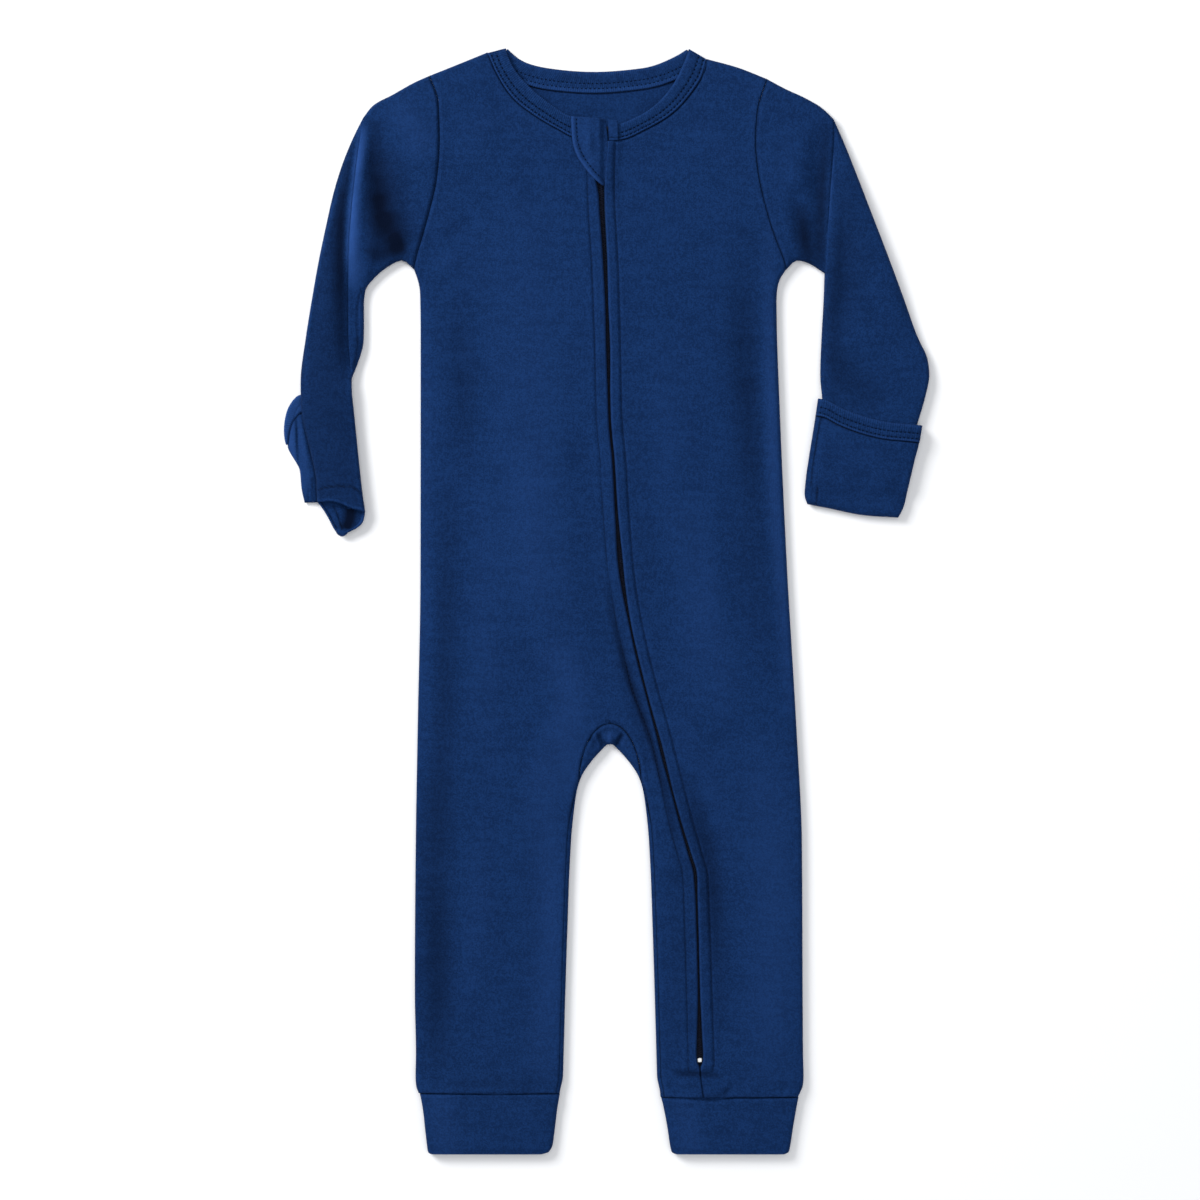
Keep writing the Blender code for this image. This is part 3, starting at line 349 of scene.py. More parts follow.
class Recipe:
    # a material, built from its Principled shader backwards
    def __init__(self, name, **constants):
        self.material = bpy.data.materials.new(name)
        self.material.use_nodes = True
        self.tree = self.material.node_tree
        self.shader = self.tree.nodes["Principled BSDF"]
        for key, value in constants.items():
            self.shader.inputs[key.replace("_", " ")].default_value = value

    def add(self, kind, settings=None, sockets=None, output=0):
        # one node: its settings first, then the values or links of its sockets
        node = self.tree.nodes.new(kind)
        for key, value in (settings or {}).items():
            setattr(node, key, value)
        for key, value in (sockets or {}).items():
            if isinstance(value, Wire):
                self.tree.links.new(value.socket, node.inputs[key])
            else:
                node.inputs[key].default_value = value
        return Wire(self, node.outputs[output])

    def feed(self, socket, wire):
        # joins a wire to a socket of the Principled shader
        self.tree.links.new(wire.socket, self.shader.inputs[socket])

    def place(self, turn=0.0, stretch=(1, 1, 1)):
        # object coordinates in millimetres, turned about Z and stretched
        where = self.add("ShaderNodeTexCoord", output="Object")
        scale = tuple(1000 * each for each in stretch)
        return self.add("ShaderNodeMapping", None, {
            "Vector": where, "Rotation": (0, 0, math.radians(turn)), "Scale": scale})

    def noise(self, where, scale, detail=3.0, rough=0.55):
        # soft noise, scale blotches to each unit of where
        return self.add("ShaderNodeTexNoise", None, {
            "Vector": where, "Scale": scale, "Detail": detail, "Roughness": rough})

    def stripes(self, where, apart, direction="X", distortion=0.0):
        # bands a distance apart: the wave node repeats every 6.28 / 20 at a scale of 1
        return self.add("ShaderNodeTexWave", {"bands_direction": direction}, {
            "Vector": where, "Scale": 6.28 / 20 / apart, "Distortion": distortion,
            "Detail": 1.0})

    def between(self, low, high, wire):
        # 0 below low, 1 above high
        return self.add("ShaderNodeMapRange", {"interpolation_type": "SMOOTHSTEP"}, {
            "Value": wire, "From Min": low, "From Max": high})

    def limit(self, wire):
        # kept from 0 to 1
        return self.add("ShaderNodeClamp", None, {"Value": wire})

    def tint(self, colour, other, share):
        # one colour mixed towards another by a share
        ends = [each if isinstance(each, Wire) else (*each, 1) for each in (colour, other)]
        return self.add("ShaderNodeMix", {"data_type": "RGBA"},
                        {0: share, 6: ends[0], 7: ends[1]}, 2)

    def own(self, name, output="Fac"):
        # a value that the mesh carries on its points
        return self.add("ShaderNodeAttribute", {"attribute_name": name}, None, output)

    def bump(self, height, depth, strength=1.0):
        # depth is in millimetres
        self.feed("Normal", self.add("ShaderNodeBump", None, {
            "Height": height, "Distance": depth * mm, "Strength": strength}))


cloth = {
    "deep": (0.0034, 0.0170, 0.0670), "light": (0.0062, 0.0285, 0.1080),
    # seam is the painted shade colour for seams, creases and hollows; paintedHighlight is the painted
    # highlight colour for ridges and fold edges
    "seam": (0.0010, 0.0040, 0.0160), "paintedHighlight": (0.0200, 0.0660, 0.2350),
    "sheen": 0.03, "wale": 1.15,
    # share of the light colour: fleck, streak, broad patches, grain, and what comes off
    "mix": (0.66, 0.4, 0.6, 0.7, 0.69),
    # how far the shade attribute paints towards the highlight colour above 0 and towards the shade
    # colour below 0
    "paintedHighlightShare": 0.45, "paintedShadeShare": 0.87,     # of the shade above and below 0
}


def knitFinish(name, turn=0.0, colours=cloth, ribs=False):
    # brushed interlock: flecked on a slant, fine wales, with painted shade in seams, creases and
    # hollows and painted highlights on ridges and edges
    made = Recipe(name, Roughness=0.92, Specular_IOR_Level=0.05, Sheen_Weight=colours["sheen"],
                  Sheen_Roughness=0.4, Sheen_Tint=(0.35, 0.6, 1.0, 1))
    slant = made.noise(made.place(turn + 33, (1.0, 0.55, 1.0)), 0.56, 2.0, 0.5)
    cross = made.noise(made.place(turn - 38, (1.0, 0.6, 1.0)), 0.48, 2.0, 0.5)
    fibre = made.noise(made.place(turn), 1.45, 1.0, 0.5)
    streak = made.noise(made.place(turn, (0.25, 1.0, 1.0)), 0.3, 3.0, 0.6)
    broad = made.noise(made.place(turn), 0.06, 3.0, 0.5)
    grain = made.between(0.34, 0.66, made.noise(made.place(turn + 20), 1.0, 1.0, 0.6))
    fleck = made.between(0.38, 0.62, slant * 0.30 + cross * 0.26 + fibre * 0.44)
    flecks, streaks, patches, grains, less = colours["mix"]
    share = (fleck * flecks + made.between(0.3, 0.7, streak) * streaks + broad * patches
             + grain * grains - less)
    colour = made.tint(colours["deep"], colours["light"], share)
    # the shade attribute paints highlight and shade over the knit's own colour
    shade = made.own("shade")
    colour = made.tint(colour, colours["paintedHighlight"], made.limit(shade * colours["paintedHighlightShare"]))
    colour = made.tint(colour, colours["seam"], made.limit(shade * -colours["paintedShadeShare"]))
    made.feed("Base Color", colour)
    if ribs:
        rib = made.stripes(made.own("lay", "Vector"), ribs["apart"])
        made.bump(rib * 0.75 + fleck * 0.25, ribs["depth"], 1.0)
    else:
        wale = made.stripes(made.place(turn), colours["wale"], "X", 0.6)
        made.bump(fleck * 0.62 + wale * 0.16 + fibre * 0.22, 0.16, 0.9)
    return made.material


makeStudio()


# Body: the lay of the cloth, shared by every panel
lay = {
    "wall": 1.1, "doubleWall": 1.9,
    "loft": 4.9,            # outer face of the upper layer beside a fold
    "round": 2.4,           # how far from a fold the wall turns level
    "meet": 0.07,           # half of the gap where two layers meet at a fold
    "seam": 0.16,           # between neighbouring pieces
    "roll": (0.0, 0.03, 0.1, 0.22, 0.42, 0.7, 1.05, 1.5, 2.0, 2.6, 3.3),
    "puff": 2.3, "puffRound": 30.0,     # how much the middle stands above the folds
    "neckRound": 70.0,
    # foldShade paints shade in the placed folds' troughs and highlight on their ridges
    "foldScale": 1.8, "foldShade": 0.13,    # strength of the placed folds, and their shade
}
middleHeight = lay["loft"] / 2
body = {
    "sides": {"height": (-272.6, -270, -266.5, -262, -250, -217, -135, -69, 14, 110, 150, 165),
              "right": (-102.2, -103.2, -104.3, -104.6, -104.4, -105, -104.5, -103.4, -101.9, -101.8,
                        -101.8, -102),
              "left": (105.6, 106.8, 108.1, 108.5, 108.2, 108, 107.6, 104.5, 99.6, 95.2, 93.8, 93.6)},
    "crotch": (2.2, -79.2),
    "legGap": ((0, 0.3, 1, 5, 10, 16, 23, 29.5, 36, 48, 66, 100, 196),
               (0, 1.7, 2.5, 6.4, 10.7, 14.8, 17.6, 18.9, 19.75, 21, 22.1, 23.35, 26.2)),
    "gussetTop": -67.7, "gussetHalf": 17, "gussetDepth": 33,
    "inseam": (0.8, 2),           # from the leg's fold, at the gusset's foot and below
    "ankle": {"right": -270.6, "left": -272.6},
    "yoke": 165,
}
zipLine = {
    "height": (-273.5, -256, -219.5, -177.5, -151, -138, -121, -96.5, -76.5, -52.5,
               -22, 11, 44, 77, 100, 145, 186, 226.5, 264),
    "middle": (53.5, 51.5, 51, 50, 49, 45.5, 40.5, 34, 29, 22.5,
               15, 9, 6, 4, 2, 1, -0.5, -2.6, -1.6),
    "opening": (-273.5, -258.5, -256.2, -255, -252.5, -248.6, -241, -233.5, -226, -218,
                -209, -164, -152, -142, -122, -105.6, -97, -80, -71.5, -51, -34,
                -17, -6, 5, 22, 42, 62, 115, 123, 138.6, 161.7, 185, 200,
                222, 234, 246, 264),
    "half": (0.1, 0.1, 0.14, 0.7, 1.6, 1.75, 1.45, 1.15, 0.85, 0.55,
             0.45, 0.45, 0.85, 0.8, 0.5, 0.42, 0.6, 0.8, 0.6, 0.42, 0.5,
             0.42, 0.6, 0.95, 1.35, 0.85, 0.6, 0.6, 0.8, 1, 0.75, 1.05, 1.15,
             1.45, 1.5, 1.5, 1.5),
    "top": {"right": (0, 1.9, 2.35, 1.95), "left": (0, 0, 0.95, 1.25)},
    "row": {"height": (-258, -240, -211, -150, -143, -131, -114, -104, -91, -80,
                       -69, -60, -50, -20, 20, 115, 225, 264),
            "right": (6.4, 6.5, 6.8, 7, 6.9, 6.7, 5.9, 5.2, 4.6, 4.3,
                      5, 6.1, 7.1, 7.3, 7.5, 7.3, 7.5, 7.5),
            "left": (8, 7.6, 7.1, 6.8, 6.8, 7, 7.1, 7.1, 7.1, 7.1,
                     7.1, 7, 6.9, 6.7, 6.9, 6.8, 7.2, 7.2)},
    "band": 6.6, "rise": 0.8, "foot": -258.2, "overGuard": 1.8,
    "bandLeast": 2.8, "bandMost": 6.9,
    "foldDrop": 0.9, "foldRound": 1.3, "rowDepth": 0.36, "rowWidth": 0.45,
    "weltRise": 0.22, "weltFrom": 1.7, "weltWidth": 1.3,
    # the foot row's shade is painted shade in its groove
    "footRow": (0.5, 0.35, 0.7),        # half width, depth, shade
}
outline = {
    "right": {
        "shoulder": ((-96.5, 288), (-80, 294.6), (-65.5, 300.5)),
        "armhole": ((-97, 287.8), (-92, 273), (-91.3, 250.5), (-93, 229.5),
                    (-96.5, 214), (-100.5, 199.5), (-104.3, 187), (-105.5, 181.5)),
        "side": ((-105.5, 181.5), (-103.6, 176.5), (-102.2, 170), (-102, 165)),
        "cap": ((-97, 287.8), (-104.5, 284.5), (-117, 277.5), (-128.5, 271), (-133.5, 264.5)),
        "outer": ((-133.5, 264.5), (-138.5, 254.5), (-144.5, 240), (-149.5, 224),
                  (-153.5, 206.5), (-157.5, 187.5), (-161.5, 165), (-165, 143),
                  (-167.5, 122), (-167, 104.5), (-162.5, 83), (-159, 66),
                  (-158.4, 54)),
        "pleat": ((-133.5, 264.5), (-136.5, 240), (-139, 216), (-141, 187.5),
                  (-141.2, 165), (-141.2, 146), (-139.5, 121.5)),
        "underarm": ((-105.5, 181.5), (-111.5, 186.5), (-120.5, 182.5), (-128, 176),
                     (-132, 170.6), (-133, 162), (-132.9, 152), (-133.1, 142),
                     (-135.8, 131.5), (-139.5, 121.5)),
        "inner": ((-139.5, 121.5), (-139.2, 113), (-138.3, 104.5), (-137, 91.5),
                  (-135.2, 74), (-133.4, 58), (-132, 48.5)),
    },
    "left": {
        "shoulder": ((88, 286.2), (73.5, 292), (55.5, 297)),
        "armhole": ((88.5, 286), (83, 267.5), (82, 251), (83.5, 234),
                    (87, 217.5), (93, 198), (97.8, 186), (99, 181.5)),
        "side": ((99, 181.5), (95.4, 176), (94, 170.5), (93.6, 165)),
        "cap": ((88.5, 286), (98.5, 280.6), (109, 275.8), (119, 269.8), (125, 264)),
        "outer": ((125, 264), (130.5, 251.5), (137.5, 234), (145, 214.5),
                  (153.5, 192.5), (163, 167), (171.5, 143.5), (176.6, 132),
                  (177.5, 123.5), (175.2, 111.5), (171.6, 99), (168, 88),
                  (163.4, 70)),
        "pleat": ((125, 264), (124.5, 249.5), (122.5, 221), (121, 200), (120, 179.5)),
        "underarm": ((99, 181.5), (105, 186.5), (109.5, 185.6), (120, 179.5)),
        "inner": ((120, 179.5), (119.5, 165), (118.3, 143), (117.6, 122),
                  (118.6, 110.5), (119, 99), (116.4, 70)),
    },
}
neck = {
    "front right": (((-5.6, 263), (-5.6, 251.6)), ((-20, 265.5), (-19, 254)),
                    ((-29, 271), (-24.5, 257)), ((-43, 282.5), (-36.5, 263.8)),
                    ((-49.5, 290), (-51.5, 275.5)), ((-53.5, 297.5), (-61, 290.5)),
                    ((-55.5, 303.9), (-65.2, 300.6))),
    "back": (((-55.5, 303.9), (-65.2, 300.6)), ((-51.5, 299.5), (-61.5, 293)),
             ((-44, 294.6), (-49.5, 286)), ((-29, 291.2), (-34, 281.2)),
             ((-8, 289.6), (-8, 279)), ((20, 291.6), (20, 281.2)),
             ((36, 297), (41, 287.5)), ((42.5, 300.6), (51, 293.2)),
             ((46, 303.4), (55.3, 297.1))),
    "front left": (((46, 303.4), (55.3, 297.1)), ((43, 295.5), (52.6, 287)),
                   ((37.5, 284), (47, 278.3)), ((27, 271.5), (37, 267.3)),
                   ((14, 263.6), (21, 257.6)), ((7, 261.2), (9, 252.4)),
                   ((1.6, 261.2), (1.6, 251.6))),
}


def sideEdge(side, height):
    # x of the body's outer fold at a height
    return flow(body["sides"]["height"], body["sides"][side], height)


def zipMiddle(height):
    # x of the zip's middle line at a height
    return flow(zipLine["height"], zipLine["middle"], height)


def zipEdge(side, height):
    # the folded edge of one front along the zip
    half = flow(zipLine["opening"], zipLine["half"], height)
    half = half + np.interp(height, (222.0, 234.0, 246.0, 264.0), zipLine["top"][side])
    return zipMiddle(height) + (half if side == "left" else -half)


def bandWidth(side, height):
    # from a zip edge out to its row of stitches, which keeps its way from the zip's middle
    half = np.abs(zipEdge(side, height) - zipMiddle(height))
    return np.clip(flow(zipLine["row"]["height"], zipLine["row"][side], height) - half,
                   zipLine["bandLeast"], zipLine["bandMost"])


def legGap(height):
    # half of the gap between the legs: quick to open, then nearly parallel
    depth = np.clip(body["crotch"][1] - np.asarray(height, float), 0, None)
    return flow(*body["legGap"], depth) + 1.5 * ramp(-261.0, -271.5, height)


def gussetHalf(height):
    # half width of the gusset's seam, a half ellipse over the crotch
    depth = np.clip((body["gussetTop"] - np.asarray(height, float)) / body["gussetDepth"], 0, 1)
    return body["gussetHalf"] * np.sqrt(1 - (1 - depth) ** 2)


gussetFoot = body["gussetTop"] - body["gussetDepth"]


def inseamInset(height):
    # how far an inner seam lies in from the leg's fold, growing below the gusset's foot
    low, full = body["inseam"]
    return low + (full - low) * ramp(gussetFoot, gussetFoot - 24, height)


def innerSeam(side, height):
    # where a front meets the gusset or the back between the legs
    turn = -1 if side == "right" else 1
    below = body["crotch"][0] + turn * (legGap(height) + inseamInset(height))
    return np.where(height > gussetFoot, body["crotch"][0] + turn * gussetHalf(height), below)


# Folds of the outline, which walls round over to, and seams, which the cloth sinks into
trunkHeights = np.concatenate([np.linspace(body["yoke"], -245.0, 84),
                               np.linspace(-245.5, body["ankle"]["left"], 36)])
legHeights = body["crotch"][1] - np.linspace(0, 1, 90) ** 2 * (body["crotch"][1]
                                                            - body["ankle"]["left"])
trunkFolds = ([curveOf(outline[side][part]) for side in ("right", "left")
               for part in ("shoulder", "side", "underarm")]
              + [np.stack([sideEdge(side, trunkHeights), trunkHeights], -1)
                 for side in ("right", "left")])
legFolds = [np.stack([body["crotch"][0] + turn * legGap(legHeights), legHeights], -1)
            for turn in (-1, 1)]
seamLines = {
    "armhole right": curveOf(outline["right"]["armhole"]),
    "armhole left": curveOf(outline["left"]["armhole"]),
    "neck right": curveOf([station[1] for station in neck["front right"]]),
    "neck left": curveOf([station[1] for station in neck["front left"]]),
    "neck back": curveOf([station[1] for station in neck["back"]]),
    "inseam right": np.stack([innerSeam("right", legHeights[18:]), legHeights[18:]], -1),
    "inseam left": np.stack([innerSeam("left", legHeights[18:]), legHeights[18:]], -1),
    "ankle right": np.array([[-103.0, -270.8], [-60.0, -270.2], [-24.5, -270.8]]),
    "ankle left": np.array([[29.8, -272.8], [47.0, -273.5], [60.0, -274.2], [70.0, -272.6],
                            [106.2, -272.8]]),
}
arch = np.linspace(0, np.pi, 60)
seamLines["gusset"] = np.stack([body["crotch"][0] + body["gussetHalf"] * np.cos(arch),
                                gussetFoot + body["gussetDepth"] * np.sin(arch)], -1)

# Everything that ends the level lay: the garment's whole outline seen from above
allFolds = trunkFolds + legFolds + [curveOf(outline[side][part]) for side in ("right", "left")
                                    for part in ("cap", "outer", "inner")]


def puffed(plan):
    # how much the cloth stands above its folds and the neck: a parabola that levels off
    neckLines = [seamLines["neck right"], seamLines["neck left"]]
    return (lay["puff"] * levelling(reach(plan, allFolds), lay["puffRound"])
            * levelling(reach(plan, neckLines), lay["neckRound"]))


seamForm = {
    "depth": 0.45, "width": 0.45, "puckerEvery": 9.0,
    "welt": 0.30, "weltFrom": 2.0, "weltWidth": 1.3,
    "buckle": 0.10, "buckleEvery": 6.5, "buckleWidth": 5.5,
    # dark and ankleDark paint shade into a seam's groove; lit paints a highlight on its welt
    "dark": 0.42, "ankleDark": (0.45, 0.3), "lit": 0.12, "litFrom": 1.3, "litWidth": 0.7,
}


def sunk(plan, names, depth=seamForm["depth"], width=seamForm["width"]):
    # a sewn seam: a narrow groove with painted shade in it, a soft welt beside it with a painted
    # highlight, and slight uneven puckers
    # (each seam's waves start from the length of its name, so neighbours differ)
    form = seamForm
    height, shade = np.zeros(plan.shape[:-1]), np.zeros(plan.shape[:-1])
    for name in names:
        distance, run = measure(plan, seamLines[name])[:2]
        pucker = waver(run, len(name), form["puckerEvery"])
        height -= depth * (1 + 0.2 * pucker) * bell(distance, width)
        height += (form["welt"] * (1 + 0.6 * pucker)
                   * bell(distance - form["weltFrom"], form["weltWidth"]))
        height += (form["buckle"] * waver(run, len(name) + 2, form["buckleEvery"])
                   * bell(distance, form["buckleWidth"]))
        plain, uneven = form["ankleDark"] if name[:5] == "ankle" else (form["dark"], 0.0)
        shade -= (plain + uneven * pucker) * bell(distance, width)
        shade += form["lit"] * bell(distance - form["litFrom"], form["litWidth"])
    return height, shade


fronts = {
    "rows": 96, "archRows": 26, "legRows": 78, "armholeRows": 44, "sideRows": 9,
    "zipColumns": (0, 0.1, 0.25, 0.5, 0.85, 1.3, 1.9, 2.6, 3.3, 4, 4.6, 5.1, 5.5, 5.85, 6.15,
                   6.45, 6.75, 7.1, 7.6, 8.4, 9.5, 11),
    "ownColumns": 34, "leftColumns": 36, "shoulderColumns": 20, "stripColumns": 5,
    "ownWidth": 78, "stripWidth": 23, "leftWidth": 95,    # at the yoke's foot, about
    "stripNear": (0, 0.8, 1.8, 3.2, 5), "splitsAt": -24,
    # listed folds: line, depth, half width, lean
    "creases": (
        # torso, wearer's right: a trough beside the rounded side, and a ridge by it
        (((-80, 172), (-78.5, 140), (-76, 105), (-77.5, 70)), -1.1, 7.5, 0.2),
        (((-92, 150), (-90, 110), (-91, 60)), 0.55, 6, 0),
        (((-66, 60), (-63, 10), (-66, -50), (-62, -100)), 0.7, 12, 0),
        # torso, wearer's left
        (((76, 190), (78.5, 150), (82, 100), (84, 50)), -1.2, 8.5, -0.2),
        (((66, 60), (70, 10), (72, -30)), -0.6, 9, 0.2),
        (((30, 150), (33, 90), (38, 30)), 0.5, 13, 0),
        # middle of the torso
        (((-44, 90), (-40, 30), (-30, -40)), 0.8, 15, 0.1),
        (((-14, 120), (-13, 60), (-6, 10), (4, -30)), -0.5, 8, -0.2),
        # down from the zip's bend towards the crotch and into the left leg
        (((2, -4), (12, -40), (22, -75), (28, -104)), -0.9, 4.6, 0.2),
        (((34, -60), (48, -95), (62, -128), (68, -160)), 0.6, 8, 0.2),
        (((46, -96), (54, -124), (59, -152), (62, -196)), -1.1, 6, -0.2),
        (((28, -150), (36, -153), (44, -156.5)), -0.6, 2.6, 0.3),
        (((27, -143), (36, -146), (44, -150)), 0.4, 2.8, 0),
        # wearer's right leg: rounded over to both folds, uneven lengthways
        (((-93, -150), (-90.5, -195), (-91, -262)), -1, 7.5, 0.2),
        (((-72, -120), (-70, -170), (-72, -230)), 0.6, 9, 0),
        (((-34, -110), (-36, -160), (-35, -240)), -0.7, 7, -0.2),
        (((-22, -62), (-30, -78), (-36, -104)), 0.45, 6, 0),
        # small gathers above the ankle seams
        (((-92, -258), (-91.5, -270)), -0.5, 2.6, 0),
        (((-77, -262), (-76, -270.5)), -0.35, 1.8, 0),
        (((-58, -260), (-58.5, -270.5)), -0.4, 2.2, 0),
        (((-41, -262), (-41.5, -270.5)), -0.4, 2, 0),
        (((35, -258.6), (42, -259.6), (50.5, -259.4)), -0.75, 1.5, 0),
        (((52.5, -259.6), (58, -260.2), (63, -262)), -0.3, 1.6, 0),
        (((36, -263.5), (44, -264.6), (50, -264)), 0.3, 2.4, 0),
        (((60, -273.5), (65.5, -270.5), (70.5, -265.5)), -0.7, 1.5, 0),
        (((72, -271), (80, -268.5), (88, -269)), 0.35, 2.2, 0),
        (((84, -264), (85, -272)), -0.35, 2, 0),
        (((97, -262), (97.5, -272)), -0.35, 2, 0),
        # by the armholes and the neck
        (((-88, 196), (-80, 204), (-70, 208)), -0.5, 3.4, 0),
        (((-96, 176), (-88, 184), (-78, 189)), 0.5, 4, 0),
        (((88, 188), (80, 198), (70, 204)), -0.5, 3.6, 0),
        (((-60, 268), (-72, 250), (-80, 236)), 0.4, 6, 0),
        (((50, 262), (62, 246), (72, 236)), 0.4, 6, 0),
        (((8, 224.5), (12, 224), (17, 224.8)), -0.3, 1.2, 0),
    ),
}
# painted light and shade: soft light and dark strips over the folds, as lines with a shade and a half
# width
fronts["paintedStrokes"] = (
    (((-50, 220), (-48, 140), (-44, 70), (-38, 0)), 0.2, 26, 0),
    (((-98.6, 176), (-98.3, 60), (-98.4, -20), (-100, -100)), 0.22, 3.4, 0),
    (((-91, 184), (-90.5, 130), (-91, 60)), -0.16, 6, 0),
    (((-74, 166), (-73, 118), (-75, 60)), -0.08, 7, 0),
    (((-86, 70), (-87, 0), (-89, -70), (-93, -140)), -0.36, 7, 0),
    (((-92, -90), (-94, -170), (-94, -262)), -0.38, 9.5, 0),
    (((-36, -84), (-33, -150), (-34, -266)), 0.46, 11, 0),
    (((-29, -20), (-20, -54), (-24, -110)), 0.42, 10, 0),
    (((89, 206), (90.5, 120), (93, 50), (98, -10), (102, -70)), 0.54, 4.6, 0),
    (((73, 188), (74, 130), (79, 60), (84, 0), (87, -50)), -0.2, 8, 0),
    (((44, 60), (52, 0), (62, -66)), 0.24, 15, 0),
    (((84, -70), (92, -170), (90, -266)), 0.34, 15, 0),
    (((42, -86), (52, -118), (58.5, -150), (61, -196), (62, -236)), -0.32, 6.5, 0),
    (((33, -70), (40, -120), (40, -190), (36, -262)), -0.16, 7, 0),
    (((14, 130), (18, 70), (24, 14), (32, -40)), -0.12, 8, 0),
    (((-88, -262), (-60, -265), (-34, -262)), -0.16, 4, 0),
    # shadow in the crook of the zip, left of it
    (((-2, 14), (9, -34), (20.5, -68), (27, -88), (33.4, -112), (38.5, -138)), -0.62, 2, 0.4),
    (((36, -258.9), (43, -259.9), (51, -259.6), (58, -260), (63, -262)), -0.7, 1.4, 0),
    (((50, -272), (60, -272.6), (70, -271.6)), -0.4, 2.2, 0),
)
zipColumns = np.array(fronts["zipColumns"])
roll = np.array(lay["roll"])
frontSeams = ("armhole right", "armhole left", "neck right", "neck left", "gusset",
              "inseam right", "inseam left", "ankle right", "ankle left")


def bandProfile(distance, along, band):
    # turned zip edge: rounded fold, raised band, stitched groove, soft welt beyond
    unit = (ramp(0.0, 1.0, distance) * (1 - ramp(band - 1.5, band - 0.1, distance))
            * zipLine["rise"] * (1.3 - 0.09 * distance) * (1 + 0.25 * waver(along, 3, 46.0)))
    unit -= zipLine["foldDrop"] * (1 - crown(distance, zipLine["foldRound"]))
    unit -= zipLine["rowDepth"] * bell(distance - band, zipLine["rowWidth"])
    unit += zipLine["weltRise"] * bell(distance - band - zipLine["weltFrom"], zipLine["weltWidth"])
    # painted highlight on the fold, painted shade in the stitched groove and along the zip edge
    shade = 0.5 * bell(distance - 0.5, 0.6) - 0.55 * bell(distance - band, 0.34)
    return unit, shade - 0.5 * bell(distance, 0.2)


def upperHeight(plan, side):
    # outer face of a front: rounded over at the folds, puffed, creased, sunk at seams
    height = middleHeight + np.maximum(
        middleHeight * crown(reach(plan, trunkFolds + legFolds), lay["round"]), lay["meet"])
    height = height + puffed(plan)
    calm = ramp(0.5, 9.0, reach(plan, allFolds))
    folds = lay["foldScale"] * creased(plan, fronts["creases"]) * calm
    height += folds
    dip, shade = sunk(plan, frontSeams)
    # painted shade in troughs and seams, painted highlights on ridges and welts, and the painted
    # strokes
    shade = shade + lay["foldShade"] * folds + paintedShading(plan, fronts["paintedStrokes"])
    height += dip * ramp(-0.2, 2.0, reach(plan, trunkFolds + legFolds))
    distance = np.abs(plan[..., 0] - zipEdge(side, plan[..., 1]))
    here = ramp(zipLine["foot"] - 0.5, zipLine["foot"] + 0.9, plan[..., 1])
    band, bandShade = bandProfile(distance, plan[..., 1], bandWidth(side, plan[..., 1]))
    height += band * here
    seamBelow = 0.45 * bell(distance, 0.45) * (1 - here)
    # painted shade along the seam below the bands
    shade = shade + bandShade * here - 1.3 * seamBelow
    # a row of sewing across both bands' feet, with painted shade in it
    across = (1 - ramp(zipLine["band"] - 0.4, zipLine["band"] + 0.6, distance))
    rowWidth, rowDepth, rowShade = zipLine["footRow"]
    row = bell(plan[..., 1] - zipLine["foot"], rowWidth) * across
    height -= rowDepth * row
    shade = shade - rowShade * row
    if side == "left":
        # the left band stands over the guard's straight edge
        height += zipLine["overGuard"] * ramp(11.0, 2.0, distance) * ramp(
            218.0, 231.0, plan[..., 1])
    return np.maximum(height - seamBelow, middleHeight + lay["meet"]), shade


def armholeRows(side):
    # where rows cross the armhole, as shares of its length, close at both ends
    length = lengthOf(outline[side]["armhole"])
    return spread(roll, roll, fronts["armholeRows"], length)[0] / length


def neckSeam(part, fractions):
    # a panel's edge along the neck, a seam's width from the binding
    stations = np.array(neck[part], float)
    free, sewn = along(stations[:, 0], fractions), along(stations[:, 1], fractions)
    away = sewn - free
    return sewn + lay["seam"] * away / np.linalg.norm(away, axis=1, keepdims=True)


def panelSide(side):
    # a panel's edge down the armhole and the side, to the yoke's foot
    turn = 1 if side == "right" else -1
    armhole = along(outline[side]["armhole"], armholeRows(side)) + (turn * lay["seam"], 0)
    return np.concatenate([armhole, along(outline[side]["side"],
                                          np.linspace(0, 1, fronts["sideRows"])[1:])])


def frontYoke(side, columns):
    # one front above the yoke's foot, from the side to the zip
    edge = panelSide(side)
    v = runLengths(edge) / runLengths(edge)[-1]
    corner = fronts["shoulderColumns"]
    part = "front " + side
    length = lengthOf([station[1] for station in neck[part]])
    count = len(columns) - corner - len(zipColumns) - len(roll)
    fractions = spread(roll, zipColumns, count, length)[0] / length
    seam = neckSeam(part, 1 - fractions if side == "right" else fractions)
    shoulderLength = lengthOf(outline[side]["shoulder"])
    places = spread(roll, (0.0, 0.5, 1.2), corner - len(roll) - 2, shoulderLength)[0]
    shoulder = along(outline[side]["shoulder"], places[:-1] / shoulderLength)
    shoulder[0] = edge[0]
    top = np.concatenate([shoulder, seam])
    heights = top[-1, 1] + (body["yoke"] - top[-1, 1]) * v
    right = np.stack([zipEdge(side, heights), heights], -1)
    top[-1] = right[0]
    foot = edge[-1, 0] + (right[-1, 0] - edge[-1, 0]) * columns
    bottom = np.stack([foot, np.full(len(foot), body["yoke"])], -1)
    return coons(top, bottom, edge, right, columns, v)


def lowerHeights(side):
    # rows below the yoke's foot, closer over the gusset's arch
    top, foot = body["gussetTop"], gussetFoot
    turns = np.radians(np.linspace(90, 0, fronts["archRows"]))
    trunk = np.linspace(body["yoke"], top, fronts["rows"] + 1)[1:-1]
    bend = foot + body["gussetDepth"] * np.sin(turns)
    share = 1 - (1 - np.linspace(0, 1, fronts["legRows"] + 1)[1:]) ** 1.35
    leg = foot + (body["ankle"][side] - foot) * share
    return np.concatenate([trunk, bend, leg])


